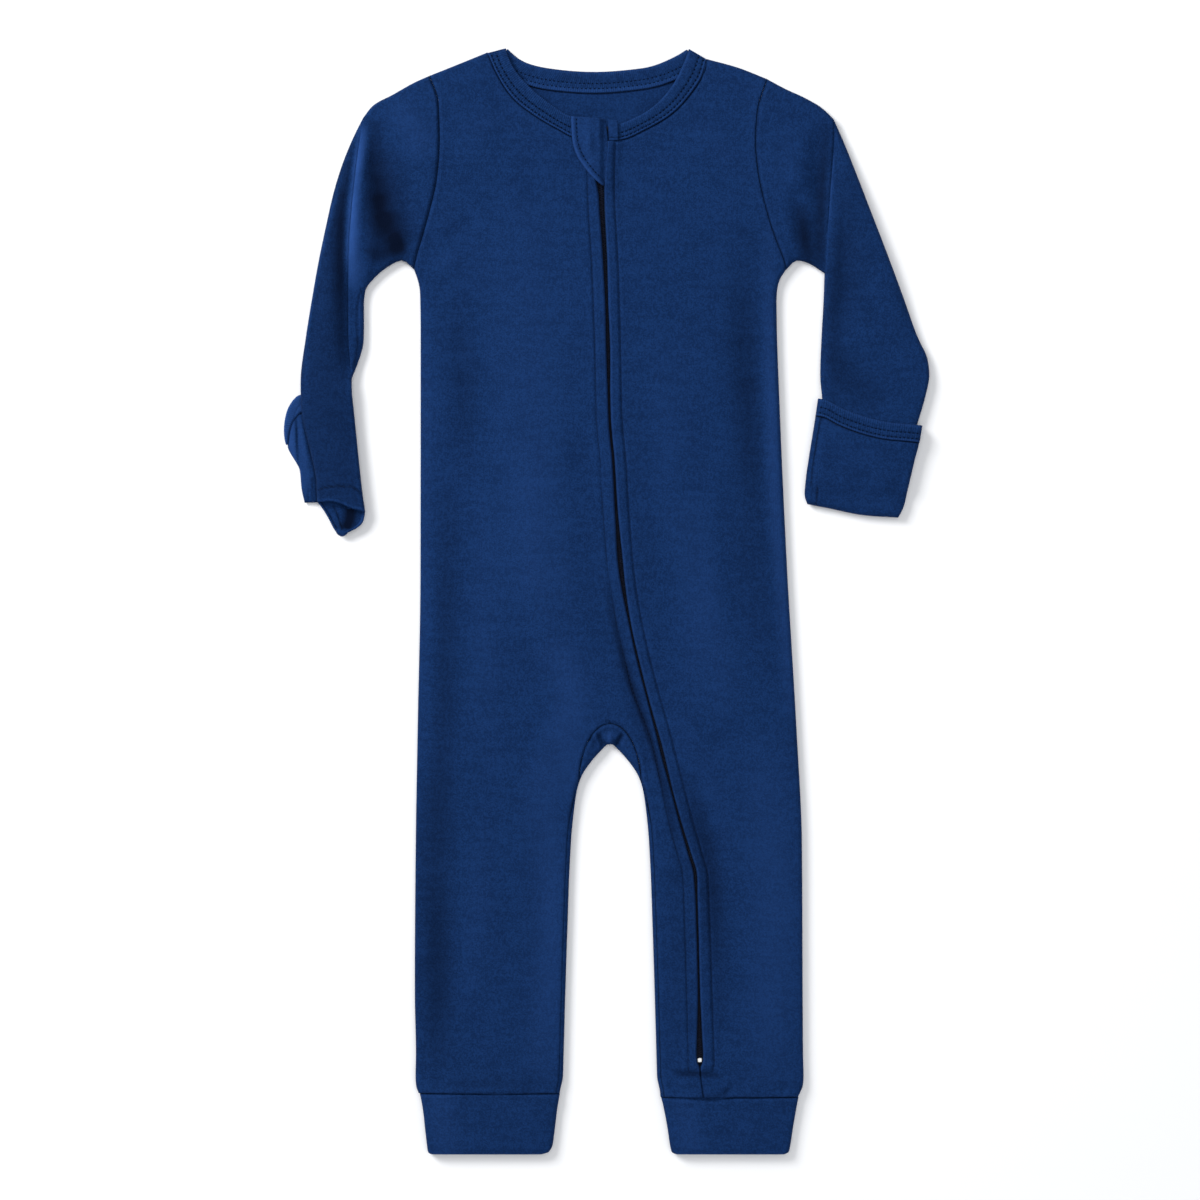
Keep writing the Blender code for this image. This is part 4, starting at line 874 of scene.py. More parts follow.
def splitLine(height):
    # where the right front's net parts into its own leg and the strip by the zip
    x, top = body["crotch"][0], body["gussetTop"]
    return x + (fronts["splitsAt"] - x) * (height - top) / (body["yoke"] - top)


def partingRows(leg):
    # rows of the right front, and where each parts or meets the seam inside a leg
    heights = lowerHeights(leg)
    return heights, np.where(heights < body["gussetTop"], innerSeam(leg, heights),
                             splitLine(heights))


def acrossRows(start, places, heights):
    # points on level rows: x is the row's start plus places across it
    return np.stack([start[:, None] + places, np.broadcast_to(heights[:, None], places.shape)],
                    -1)


knit = knitFinish("brushedKnit")


def layUpper(plan, side):
    # a net of a front, as makeMesh takes it
    height, shade = upperHeight(plan, side)
    return withHeight(plan, height), False, shade


def makeFronts():
    # right front: columns from the side seam to where the net parts, then to the zip
    stripNear, count = fronts["stripNear"], fronts["stripColumns"]
    own = spread(roll, roll, fronts["ownColumns"], fronts["ownWidth"])[0]
    strip = own[-1] + spread(stripNear, zipColumns, count, fronts["stripWidth"])[0]
    columns = np.concatenate([own, strip[1:]]) / strip[-1]
    yoke = frontYoke("right", columns)
    heights, middle = partingRows("right")
    edge = sideEdge("right", heights)
    ownRows = acrossRows(edge, spread(roll, roll, fronts["ownColumns"], middle - edge), heights)
    heights, middle = partingRows("left")
    width = zipEdge("right", heights) - middle
    stripRows = acrossRows(middle, spread(stripNear, zipColumns, count, width), heights)
    ownNet = np.concatenate([yoke[:, :len(own)], ownRows])
    stripNet = np.concatenate([yoke[:, len(own) - 1:], stripRows])
    right = makeMesh("frontRight", [layUpper(ownNet, "right"), layUpper(stripNet, "right")],
                     knit, lay["wall"])

    # left front: columns from the zip to the side seam
    columns = spread(roll, zipColumns, fronts["leftColumns"],
                     fronts["leftWidth"])[0] / fronts["leftWidth"]
    yoke = frontYoke("left", columns)[:, ::-1]
    near, far = zipEdge("left", heights), sideEdge("left", heights)
    rows = acrossRows(near, spread(zipColumns, roll, fronts["leftColumns"], far - near), heights)
    left = makeMesh("frontLeft", [layUpper(np.concatenate([yoke, rows]), "left")],
                    knit, lay["wall"])
    return right, left


frontRight, frontLeft = makeFronts()
standsFor(frontRight, "front_right")
standsFor(frontLeft, "front_left")
print("fronts made")


# Back: level on the floor, rounded up to the side seams, wrapped round the inner legs
back = {
    "wrap": 16, "levelEnd": 0.4, "turningGap": 3, "columns": 26, "shoulderColumns": 20,
    "creases": (
        (((-60, 240), (-20, 236), (25, 241)), -0.35, 9, 0),
        (((-86, 150), (-84, 60), (-86, -40)), -0.35, 8, 0),
        (((80, 140), (83, 50), (86, -30)), -0.3, 8, 0),
        (((-30, -70), (-44, -110), (-50, -160)), -0.4, 7, 0),
        (((34, -80), (50, -120), (60, -170)), -0.4, 7, 0),
        (((-20, -50), (2, -44), (26, -52)), -0.3, 6, 0),
    ),
}


def wrapped(turn, fold, sign):
    # places from a seam round a leg's fold to the level underside, and their heights;
    # turn is how far the seam lies along the wall from the fold, above 0 on the front
    size = lay["round"]
    quarter = size * math.pi / 2
    last = np.minimum(turn, -quarter) - 0.8
    steps = np.linspace(0, 1, back["wrap"])
    turns = np.concatenate([turn[:, None], (turn - back["levelEnd"])[:, None] * (1 - steps)
                            + last[:, None] * steps], 1)
    angle = np.clip(np.abs(turns) / size, 0, math.pi / 2)
    inset = size * (1 - np.cos(angle)) + np.clip(np.abs(turns) - quarter, 0, None)
    height = middleHeight + middleHeight * np.sin(angle) * np.sign(turns)
    return fold[:, None] + sign * inset, height


def seamTurn(height):
    # arc from the fold to the back's inner seam: the gusset's below, the front's above
    size, low, full = lay["round"], body["inseam"][0], body["inseam"][1]
    below = np.clip(gussetHalf(height) - legGap(height), 0, None)
    share = (inseamInset(height) - low) / (full - low)
    above = np.clip(inseamInset(height) - lay["seam"]
                    - back["turningGap"] * share * (1 - share), 0, None)
    arching = height > gussetFoot
    inset = np.where(arching, below, above)
    arc = np.where(inset < size, size * np.arccos(np.clip(1 - inset / size, -1, 1)),
                   size * math.pi / 2 + inset - size)
    return np.where(arching, -arc, arc)


def backRows(side, heights):
    # rows of the back from the side seam to its inner seam
    edge = sideEdge(side, heights)
    inward = 1 if side == "right" else -1
    middle, crotch = body["crotch"]
    fold = middle - inward * legGap(heights)
    inner, level = wrapped(seamTurn(heights), fold, -inward)
    plain = middle - inward * np.linspace(0, 5.5, back["wrap"] + 1)[None] + 0 * inner
    arching = plain - inward * gussetHalf(heights)[:, None]
    aboveTop = (heights >= body["gussetTop"])[:, None]
    aboveCrotch = (heights > crotch)[:, None]
    inner = np.where(aboveTop, plain, np.where(aboveCrotch, arching, inner))
    level = np.where(aboveCrotch | aboveTop, 0.0, level)
    outer = edge[:, None] + inward * roll
    outerLevel = middleHeight - np.maximum(middleHeight * crown(roll, lay["round"]),
                                           lay["meet"])
    share = np.linspace(0, 1, back["columns"] + 2)[1:-1]
    flat = outer[:, -1:] + (inner[:, -1:] - outer[:, -1:]) * share
    across = np.concatenate([outer, flat, inner[:, ::-1]], 1)
    high = np.concatenate([np.broadcast_to(outerLevel, outer.shape), 0 * flat,
                           level[:, ::-1]], 1)
    rows = np.stack([across, np.broadcast_to(heights[:, None], across.shape), high], -1)
    return rows if side == "right" else rows[:, ::-1]


def backYoke():
    # the back above the yoke's foot, from armhole to armhole
    right, left = panelSide("right"), panelSide("left")
    v = runLengths(right) / runLengths(right)[-1]
    yokeRow = np.array([body["yoke"]])
    foot = np.concatenate([backRows("right", yokeRow)[0, :, 0],
                           backRows("left", yokeRow)[0, 1:, 0]])
    columns = (foot - foot[0]) / (foot[-1] - foot[0])
    corner = back["shoulderColumns"]
    length = lengthOf([station[1] for station in neck["back"]])
    count = len(foot) - 2 * corner - 2 * len(roll)
    seam = neckSeam("back", spread(roll, roll, count, length)[0] / length)
    ends = []
    for side in ("right", "left"):
        shoulderLength = lengthOf(outline[side]["shoulder"])
        places = spread(roll, (0.0, 0.5, 1.2), corner - len(roll) - 2, shoulderLength)[0]
        ends.append(along(outline[side]["shoulder"], places[:-1] / shoulderLength))
    ends[0][0], ends[1][0] = right[0], left[0]
    top = np.concatenate([ends[0], seam, ends[1][::-1]])
    bottom = np.stack([foot, np.full(len(foot), body["yoke"])], -1)
    return coons(top, bottom, right, left, columns, v)


def lowerHeight(plan):
    # outer face of the back's yoke: level on the floor, rounded up to the folds
    folds = reach(plan, trunkFolds)
    return middleHeight - np.maximum(middleHeight * crown(folds, lay["round"]), lay["meet"])


def backShade(plan):
    # painted shade along the seams sunk into the back
    return sunk(plan, ("armhole right", "armhole left", "neck back"))[1]


def makeBack():
    # two nets that share the back's middle column: the yoke, then rows wrapped round the
    # legs; where they lie level, the placed folds lift off the floor
    yoke = backYoke()
    half = back["columns"] + back["wrap"] + 1 + len(roll)
    nets = []
    for side, part in (("right", yoke[:, :half]), ("left", yoke[:, half - 1:])):
        rows = backRows(side, lowerHeights(side))
        net = np.concatenate([withHeight(part, lowerHeight(part)), rows])
        calm = ramp(4.0, 12.0, reach(net, trunkFolds + legFolds))
        level = net[..., 2] < 0.01
        net[..., 2] -= np.where(level, creased(net, back["creases"]) * calm, 0)
        nets.append((net, True, backShade(net)))
    return makeMesh("backPanel", nets, knit, lay["wall"])


backPanel = standsFor(makeBack(), "back")


# Gusset: a crescent rolled round the crotch's fold, from front seam to back seam
gusset = {
    "rows": 64, "tip": 0.5, "columns": 26, "pucker": 1.25,
    "puckers": ((-4.8, -2.1), (9.4, -2.3), (-9, 0.5), (2.4, 1), (14, 0.5), (-13, -0.9)),
}


def makeGusset():
    # straight columns from the crotch's fold to the half ellipse of the seam, rounded over
    # at the fold, puffed and puckered in front and turned down to the floor behind
    turns = np.radians(np.linspace(gusset["tip"], 180 - gusset["tip"], gusset["rows"]))
    middle, crotch = body["crotch"]
    seam = np.stack([middle + body["gussetHalf"] * np.cos(turns),
                     gussetFoot + body["gussetDepth"] * np.sin(turns)], -1)
    height = crotch - (crotch - gussetFoot) * (1 - np.sin(turns))
    fold = np.stack([middle + np.sign(np.cos(turns)) * legGap(height), height], -1)
    width = np.linalg.norm(seam - fold, axis=1)
    inward = (seam - fold) / width[:, None]
    deep = np.maximum(width - lay["seam"] * (1 + (1 - np.sin(turns)) ** 2), 0.3)
    inset = spread((0.0, 0.04, 0.15, 0.35, 0.7, 1.15, 1.7, 2.4, 3.2), (0.0, 0.4, 0.9),
                   gusset["columns"] - 10, deep)
    rise = crown(inset, lay["round"])
    plan = fold[:, None] + inward[:, None] * inset[..., None]
    dip, shade = sunk(plan, ("gusset",), 0.6, 0.5)
    lift = puffed(plan) + dip * ramp(0.0, 2.0, inset)
    # painted highlight about 5 mm in from the crotch's fold, strongest in the gusset's middle
    shade = shade + 0.3 * (np.sin(turns) ** 4)[:, None] * bell(inset - 5.0, 3.0)
    for x, depth in gusset["puckers"]:
        # small folds that fan out from the crotch's point
        base = np.array([middle + (x - middle) * 0.55, crotch + 0.5])
        tip = np.array([x, crotch + 6.8])
        distance, run = measure(plan, np.array([base, tip]))[:2]
        bite = depth * bell(distance, gusset["pucker"] * (1.35 - 0.08 * run)) * (
            1 - ramp(3.5, 8.0, run))
        lift = lift + bite * ramp(0.0, 1.0, inset)
        # painted shade and highlight along the puckers, following their depth
        shade = shade + 0.34 * bite
    front = withHeight(plan, middleHeight + middleHeight * rise + lift)[:, ::-1]
    below = withHeight(plan, middleHeight - middleHeight * rise)[:, 1:]
    net = np.concatenate([front, below], 1)
    shade = np.concatenate([shade[:, ::-1], 0 * shade[:, 1:]], 1)
    return makeMesh("crotchGusset", [(net, False, shade)], knit, lay["wall"])


gussetPiece = standsFor(makeGusset(), "gusset")
print("back and gusset made")


# Sleeves: an upper part from the armhole to a lengthways pleat, and the forearm over it
sleeves = {
    "forearmRows": 62, "forearmColumns": 26, "upperColumns": 30,
    "right": {
        "rise": 1.5, "starts": 225, "full": 168, "level": 95,
        "pull": (25, 0.6, 0.3),       # keeps the net inside the underarm's hollow curve
        # the forearm drops beside the pleat: depth, width, and where it does so
        "falls": (2.6, 5, 190, 172, 130, 117),
        "lift": 3, "loft": 4.9, "begins": 132, "wristFull": 113, "turn": -8,
        "creases": (
            # long ridge down from the shoulder's corner, dark valley beside it
            (((-133.4, 263), (-135.6, 240), (-138.4, 216), (-140.2, 186),
              (-139.6, 168)), 2.9, 4.2, 0.5),
            (((-128, 262), (-126, 240), (-122, 218), (-118, 200)), -2.6, 7.5, 0.3),
            (((-112, 236), (-108, 214), (-107, 198)), -1.5, 6, 0.2),
            (((-103, 262), (-101.5, 244), (-101, 226)), 0.8, 5, 0),
            (((-116, 191), (-110, 195), (-104, 196.5)), -1, 2.6, 0),
            (((-126, 206), (-129, 188), (-131.5, 172)), 1.3, 3.4, 0),
            # forearm
            (((-151, 140), (-149, 118), (-147, 92)), -0.7, 5, 0.2),
            (((-158, 196), (-160, 165), (-162.5, 135)), -0.9, 4, -0.2),
            (((-149, 226), (-152, 200), (-154, 172)), 0.7, 4, 0),
            (((-160, 112), (-152, 104), (-144, 102)), 0.6, 5, 0),
            (((-150, 84), (-149, 72), (-147.5, 62)), 0.6, 5, 0),
            (((-141, 106), (-139.5, 88), (-138.5, 70)), -0.5, 2.6, 0),
        ),
        # paintedForearmShade darkens the forearm away from the pleat; the painted strokes are painted
        # light and shade
        "paintedForearmShade": -0.36,
        "paintedStrokes": (
            (((-132.2, 263), (-133.9, 248), (-136.3, 232.3), (-138, 214.7), (-138.9, 196),
              (-139, 170)), 1.7, 3.1, 0),
            (((-133, 260), (-134.4, 248), (-136.4, 234)), 0.7, 3, 0),
            (((-143.6, 228), (-144.6, 203), (-144.4, 166)), -0.32, 3, 0),
            (((-139.6, 222), (-137, 190), (-137, 168)), 0.5, 5, 0),
            (((-140.5, 252), (-144.5, 222), (-146.5, 184), (-145.5, 150),
              (-143, 128)), -0.42, 4.2, 0),
            (((-129.4, 266), (-127.7, 245.4), (-126, 227.9), (-122.4, 210.3), (-118.9, 197.2),
              (-112.8, 188)), -0.78, 7.2, 0),
            (((-119, 248), (-117, 222), (-112, 204), (-108, 190)), -0.36, 9, 0),
            (((-127, 224), (-127.5, 204), (-127, 186)), -0.5, 7, 0),
            (((-118, 214), (-115, 202), (-112, 192)), -0.34, 7, 0),
            (((-134, 193), (-125, 188), (-117, 190.5), (-110, 193)), -0.6, 4.6, 0),
            (((-117, 201), (-113, 194), (-109, 186.5)), -0.5, 4, 0),
            (((-120, 274), (-108, 262), (-98, 240)), 0.3, 9, 0),
            (((-136.6, 172), (-135.4, 158), (-135.4, 144)), 0.3, 2, 0),
            (((-138.5, 254), (-152.3, 206), (-163.6, 143), (-164.6, 104)), 0.5, 1.4, 0),
        ),
    },
    "left": {
        "rise": 2, "starts": 262, "full": 215, "level": 150, "pull": (0, 0.6, 0.3),
        "falls": (0, 5, 190, 172, 130, 117),
        "lift": 1.5, "loft": 4.1, "begins": 140, "wristFull": 118, "turn": 12,
        "creases": (
            (((117.5, 260), (117, 236), (116.5, 214), (117.5, 188)), -2.8, 4.2, -0.35),
            (((104, 230), (105, 212), (108, 196)), -1.6, 4.6, 0.2),
            (((110, 256), (107, 240), (104, 222)), 1.1, 4.5, 0),
            (((95, 212), (100, 202), (103, 191)), 1, 3.4, 0),
            (((90, 262), (91, 244), (91.5, 226)), 0.6, 4, 0),
            # forearm
            (((124.5, 235), (124, 205), (123, 165), (123, 120)), 0.9, 3.4, 0.2),
            (((131, 215), (131, 180), (130, 140)), -1.1, 4.6, 0.2),
            (((148, 182), (158, 160), (165, 142)), 1.1, 6, 0),
            (((150, 150), (160, 128), (166, 108)), -1, 6, 0.2),
            (((126, 120), (140, 112), (155, 106)), -1.1, 3.2, 0),
            (((168, 106), (169, 99)), 0.5, 2, 0),
        ),
        # no painted shade over this forearm; the painted strokes are painted light and shade
        "paintedForearmShade": 0,
        "paintedStrokes": (
            (((120.6, 262), (119, 236), (117.6, 208), (117.2, 182)), -0.78, 3.3, 0),
            (((106.5, 218), (108.5, 200), (112.5, 180)), -0.95, 4.8, 0),
            (((123, 244), (123.4, 215), (123.6, 168)), 0.26, 2.6, 0),
            (((128, 240), (131, 200), (134, 150)), -0.3, 9, 0),
            (((124, 210), (124, 160), (126, 106)), -0.42, 5.5, 0),
            (((130, 140), (138, 118), (152, 106)), -0.34, 9, 0),
            (((133, 250), (152, 200), (172, 146)), 0.3, 1.8, 0),
            (((98, 262), (97, 240), (99, 218)), 0.15, 6, 0),
        ),
    },
    "tongue": {
        "outer": ((-158.4, 54), (-155.4, 50), (-151.6, 43.6), (-149.4, 39.2),
                  (-147.6, 36.8), (-145.3, 35.8)),
        "inner": ((-132, 48.5), (-133.2, 42.8), (-137, 39.2), (-141.2, 37.2),
                  (-143.4, 36.2), (-144.5, 35.85)),
        "hollow": ((-141.4, 54), (-140.2, 49), (-140.6, 44.5), (-142, 41)),
        "rise": (0, -0.3, -0.7, -0.9, -0.9), "rows": 26,
        "line": ((-149.6, 51.6), (-147.4, 47), (-146.2, 43), (-144.9, 38.6)),
    },
    "hump": 1.8, "humpRows": 8,     # how far the hem's middle bows past its ends
    "hem": ((-157.2, 60.2), (-155.1, 61.3), (-147, 62.2), (-139.7, 62), (-136.5, 60.6),
            (-134.4, 58)),
    "underarmSeam": ((-134.2, 169.4), (-135.8, 165), (-136.5, 155), (-136.2, 142), (-138.2, 128)),
}


def sleevePlan(side):
    # plan of the upper sleeve and of the forearm folded over it
    shape = outline[side]
    v = armholeRows(side)
    u = np.linspace(0, 1, sleeves["upperColumns"])
    armhole = along(shape["armhole"], v)
    pleat = along(shape["pleat"], v)
    upper = coons(along(shape["cap"], u), along(shape["underarm"], u), armhole, pleat, u, v)
    far, place, width = sleeves[side]["pull"]
    upper[..., 0] -= (far * ((1 - v) * v ** 2)[:, None]
                      * (np.exp(-((u - place) / width) ** 2) * np.sin(np.pi * u))[None])
    # the forearm begins at the bend and opens downwards between pleat and outer edge
    outerFull, pleatFull = lengthOf(shape["outer"]), lengthOf(shape["pleat"])
    shared = min(0.9, pleatFull * 1.05 / outerFull)
    lower = np.linspace(0, 1, sleeves["forearmRows"] + 1)[1:]
    inner = np.concatenate([pleat, along(shape["inner"], lower)])
    outer = np.concatenate([along(shape["outer"], v * shared),
                            along(shape["outer"], shared + (1 - shared) * lower)])
    width = np.maximum(np.linalg.norm(outer - inner, axis=1), 1e-6)
    places = spread(roll, roll, sleeves["forearmColumns"], width)
    forearm = inner[:, None] + (outer - inner)[:, None] * (places / width[:, None])[..., None]
    return v, upper, forearm, places, width[:, None] - places, pleatFull


def makeSleeve(side, hand):
    # front and back nets of the upper part and of the forearm over it: a height of loft,
    # rise and puff times a quarter round at the folds, plus placed folds and sunk seams
    facts = sleeves[side]
    v, upper, forearm, inset, outset, pleatFull = sleevePlan(side)
    count = len(v)
    size = lay["round"]
    ends = reach(upper, [curveOf(outline[side][part], 240) for part in ("cap", "underarm")])
    rounding = np.maximum(crown(ends, size), lay["meet"] / middleHeight)
    calm = ramp(0.5, 6.0, ends)
    armhole = "armhole " + side
    dip, upperShade = sunk(upper, (armhole,))
    upperFront = (middleHeight + middleHeight * rounding + puffed(upper)
                  + creased(upper, facts["creases"]) * calm + dip * ramp(0, 2, ends))
    upperBack = middleHeight - middleHeight * rounding
    # painted light and shade on the upper sleeve along the painted strokes
    upperShade = upperShade + paintedShading(upper, facts["paintedStrokes"])
    # on the right, a groove along the underarm seam with painted shade in it
    if side == "right":
        away = awayFrom(upper, sleeves["underarmSeam"])
        upperFront = upperFront - 0.3 * bell(away, 0.7)
        upperShade = upperShade - 0.85 * bell(away, 0.7)

    y = forearm[..., 1]
    rise = facts["rise"] * (1 - ramp(facts["full"], facts["starts"], y))
    rise = rise * ramp(facts["level"], facts["level"] + 40, y)
    calm = ramp(0.3, 4.0, np.minimum(outset, inset + 2.0))
    folds = np.minimum(inset, outset)
    puff = lay["puff"] * 0.75 * levelling(folds, 16.0)
    folded = creased(forearm, facts["creases"]) * calm
    fall, fallWidth, begins, below, above, stops = facts["falls"]
    here = (1 - ramp(below, begins, y)) * ramp(stops, above, y)
    top = lay["loft"] + rise + puff + folded - fall * bell(inset, fallWidth) * here
    edge = np.full(len(forearm), middleHeight + lay["meet"])
    edge[:count] = upperFront[:, -1] - 0.6 * (1 - ramp(0, 4, np.arange(count)[::-1]))
    edge = edge[:, None]
    front = edge + (top - edge) * crown(inset, size)
    limit = middleHeight + np.maximum((top - middleHeight) * crown(outset, size), lay["meet"])
    front = np.minimum(front, limit)
    corner = np.zeros(len(forearm))
    corner[:count] = (1 - v) * pleatFull
    inward = np.minimum(np.hypot(inset, corner[:, None]), outset)
    back = middleHeight - np.maximum(middleHeight * crown(inward, size), lay["meet"])
    back[:count, 0] = upperBack[:, -1]

    wristLoft = facts["loft"] / lay["loft"]

    def lifted(plan, height):
        # levels the cloth towards the wrist, then scales and lifts it there
        wrist = 1 - ramp(facts["wristFull"], facts["begins"], plan[..., 1])
        flatter = np.minimum(height, lay["loft"] + (height - lay["loft"]) * (1 - 0.5 * wrist))
        return withHeight(plan, flatter * (1 + (wristLoft - 1) * wrist) + facts["lift"] * wrist)

    facing = side == "right"
    # painted light on the forearm: a highlight along the pleat's edge, and shade over the forearm, in
    # the crevice beside the pleat and along the painted strokes
    paintedHighlight = 0.5 * bell(inset - 0.5, 0.7) * ramp(0.2, 1.0, rise[:, :1]) + 0 * inset
    forearmShade = (paintedHighlight + facts["paintedForearmShade"] * ramp(0.0, 4.0, inset)
                    + paintedShading(forearm, facts["paintedStrokes"])
                    - here * bool(fall) * 0.9 * bell(inset - 0.5, 0.7))
    faced = forearm.copy()
    if side == "right":
        # the hem bows down the arm, and its sewing sinks in with painted shade along it; the hem's
        # last rows get a painted highlight
        last = sleeves["humpRows"]
        across = inset[-last:] / (inset + outset)[-last:]
        bow = ramp(0.2, 0.58, across) * (1 - ramp(0.64, 1.0, across))
        faced[-last:, :, 1] += sleeves["hump"] * bow * ramp(-1, last - 1, np.arange(last))[:, None]
        away = awayFrom(forearm, sleeves["hem"])
        front = front - 0.35 * bell(away, 0.5) + 0.2 * bell(away - 1.8, 1.2)
        forearmShade = forearmShade - 0.6 * bell(away, 0.6)
        forearmShade[-2:] += 0.45
    nets = [(lifted(upper, upperFront), facing, upperShade),
            (lifted(upper, upperBack), not facing, 0.0),
            (lifted(faced, front), facing, forearmShade),
            (lifted(forearm, back), not facing, 0.0)]
    if side == "right":
        tongue = sleeves["tongue"]
        last = nets[3][0][-1]
        share = np.linalg.norm(last[:, :2] - last[0, :2], axis=1)
        share = (share / share[-1])[None, :, None]
        t = np.linspace(0, 1, tongue["rows"])
        outer, inner = along(tongue["outer"], t), along(tongue["inner"], t)
        fall = np.interp(t, np.linspace(0, 1, 5), tongue["rise"])
        # the open end curls up a little at its rim
        curl = 1.6 * ramp(0.66, 0.86, t)[:, None] * np.sin(np.pi * share[0, :, 0]) ** 0.5
        curl *= np.clip(np.linalg.norm(outer - inner, axis=1) / 5.0, 0, 1)[:, None]
        plan = inner[:, None] * (1 - share) + outer[:, None] * share
        if np.linalg.norm(plan[0, 0] - last[0, :2]) > np.linalg.norm(plan[0, -1] - last[0, :2]):
            plan = outer[:, None] * (1 - share) + inner[:, None] * share
        net = withHeight(plan, last[None, :, 2] + fall[:, None] + curl)
        away = awayFrom(net, tongue["line"])
        net[..., 2] -= 0.5 * bell(away, 0.6)
        net[0] = last
        # painted shade inside the wrist and along the lip's line, painted highlight on the lip that
        # lies outside it and along the rim
        shade = (0.15 - 1.5 * bell(awayFrom(net, tongue["hollow"]), 4.0)
                 - 0.8 * bell(away, 0.7)
                 + 0.7 * bell(awayFrom(net, tongue["inner"]) - 0.6, 0.8))
        nets.append((net, not facing, shade))
    piece = makeMesh("sleeve" + hand, nets, knitFinish("sleeveKnit" + hand, facts["turn"]),
                     lay["wall"], 0.03)
    return standsFor(piece, "sleeve_" + side), lifted(faced, front)


sleeveRight, rightForearm = makeSleeve("right", "Right")
sleeveLeft = makeSleeve("left", "Left")[0]
print("sleeves made")


# Ankle cuffs: doubled cloth, sewn on with a little of the leg gathered into it
cuffs = {
    "right": ((-271, -102.2, -25.4), (-273.5, -101.7, -25.8), (-279, -100.7, -26.7),
              (-292, -99.2, -28.3), (-299.5, -98.3, -29.4), (-303, -97.8, -31.4),
              (-304, -96.7, -34.2)),
    "left": ((-273, 30.2, 105.7), (-275.5, 30.9, 105.2), (-280.5, 32, 104.3),
             (-291.5, 34, 102.4), (-299.5, 35.2, 101.2), (-303, 36, 100.4),
             (-304, 37.6, 98.8)),
    "rows": 30, "columns": 46, "puff": 1.3,
    "creases": (
        (((-84, -273), (-83, -288)), 0.4, 3.4, 0),
        (((-62, -273), (-63, -284)), -0.35, 3, 0),
        (((-44, -274), (-43, -292)), 0.35, 4, 0),
        (((45, -275), (46, -288)), -0.35, 3.4, 0),
        (((64, -274), (65, -292)), 0.45, 4.4, 0),
        (((86, -274), (86, -284)), -0.3, 3, 0),
    ),
}


def makeCuff(side, hand):
    # level rows from fold to fold, in front and back again below; height is a quarter round
    # at both folds plus a puff between them
    table = np.array(cuffs[side])[::-1]
    t = np.linspace(0, 1, cuffs["rows"])
    heights = table[0, 0] + (table[-1, 0] - table[0, 0]) * (1 - np.cos(t * np.pi)) / 2
    heights = heights[::-1]
    left, right = flow(table[:, 0], table[:, 1], heights), flow(table[:, 0], table[:, 2], heights)
    places = spread(roll, roll, cuffs["columns"], right - left)
    folds = np.minimum(places, (right - left)[:, None] - places)
    plan = acrossRows(left, places, heights)
    rise = np.maximum(middleHeight * crown(folds, lay["round"]), lay["meet"])
    foot = np.clip((heights - heights[-1])[:, None], 0, None)
    puff = cuffs["puff"] * levelling(folds, 14.0) * ramp(0, 5, foot + 1.5)
    dip, shade = sunk(plan, ("ankle " + side,), 0.55, 0.6)
    front = middleHeight + rise + puff + lay["foldScale"] * creased(plan, cuffs["creases"]) + dip
    # painted highlight along the cuff's foot and on a broad strip near the fold where its rows start
    shade = shade + 0.3 * bell(foot, 0.8) + 0.25 * bell(places - 10.0, 9.0)
    under = middleHeight - rise
    net = np.concatenate([withHeight(plan, np.maximum(front, middleHeight + lay["meet"])),
                          withHeight(plan, under)[:, ::-1]], 1)
    piece = makeMesh("legCuff" + hand, [(net, False, np.concatenate([shade, 0 * shade], 1))],
                     knit, lay["doubleWall"])
    return standsFor(piece, "leg_cuff_" + side)


cuffRight = makeCuff("right", "Right")
cuffLeft = makeCuff("left", "Left")
print("cuffs made")


# Bindings: folded ribbed strips. Their shade is painted: shade marks seams and grooves, a highlight
# their edges, and lay runs along the strip
binding = {
    "ribs": {"apart": 1.25, "depth": 0.22},
    "neckLoft": 5.0, "neckWidth": 11.2, "neckRows": (58, 74, 58),
    "stitchRows": (1.9, 4.9),           # twin needle, from the sewn edge
    "foldDrop": 0.95, "foldRound": 1.5, "belly": 0.25, "groove": 0.34, "grooveWidth": 0.42,
    "sewnDrop": 0.45,
}
ribbed = knitFinish("ribbedBinding", 0.0, {**cloth, "deep": (0.0036, 0.0176, 0.0690),
                                           "light": (0.0066, 0.0300, 0.1120)},
                    binding["ribs"])


def stripAcross(width):
    # distances across a strip: close at both edges and round the two stitched grooves
    sewn = width - np.array(binding["stitchRows"])
    groove = np.array([-0.75, -0.35, 0.0, 0.35, 0.75])
    marks = np.concatenate([[0.0, 0.06, 0.2, 0.45, 0.8, 1.3, 2.0, 3.0, 4.0, 5.0],
                            sewn[1] + groove, [sewn.mean()], sewn[0] + groove,
                            width - np.array([0.75, 0.4, 0.15, 0.0])])
    return np.unique(np.round(marks, 3))


def stripProfile(places, width):
    # folded edge rounded over, two stitched grooves, sewn edge pressed down; painted highlights on
    # the fold and the welt, painted shade in the grooves and at the sewn edge
    rise = (binding["belly"] * np.sin(np.pi * np.clip(places / 6, 0, 1))
            - binding["foldDrop"] * (1 - crown(places, binding["foldRound"])))
    shade = 0.45 * bell(places - 0.5, 0.8)
    for row in binding["stitchRows"]:
        rise = rise - binding["groove"] * bell(places - (width - row), binding["grooveWidth"])
        shade = shade - 0.35 * bell(places - (width - row), 0.4)
    edge = width - places
    rise = rise + 0.22 * bell(edge - 0.9, 0.4) - binding["sewnDrop"] * bell(edge, 0.4)
    return rise, shade + 0.8 * bell(edge - 0.75, 0.36) - 0.9 * bell(edge, 0.3)


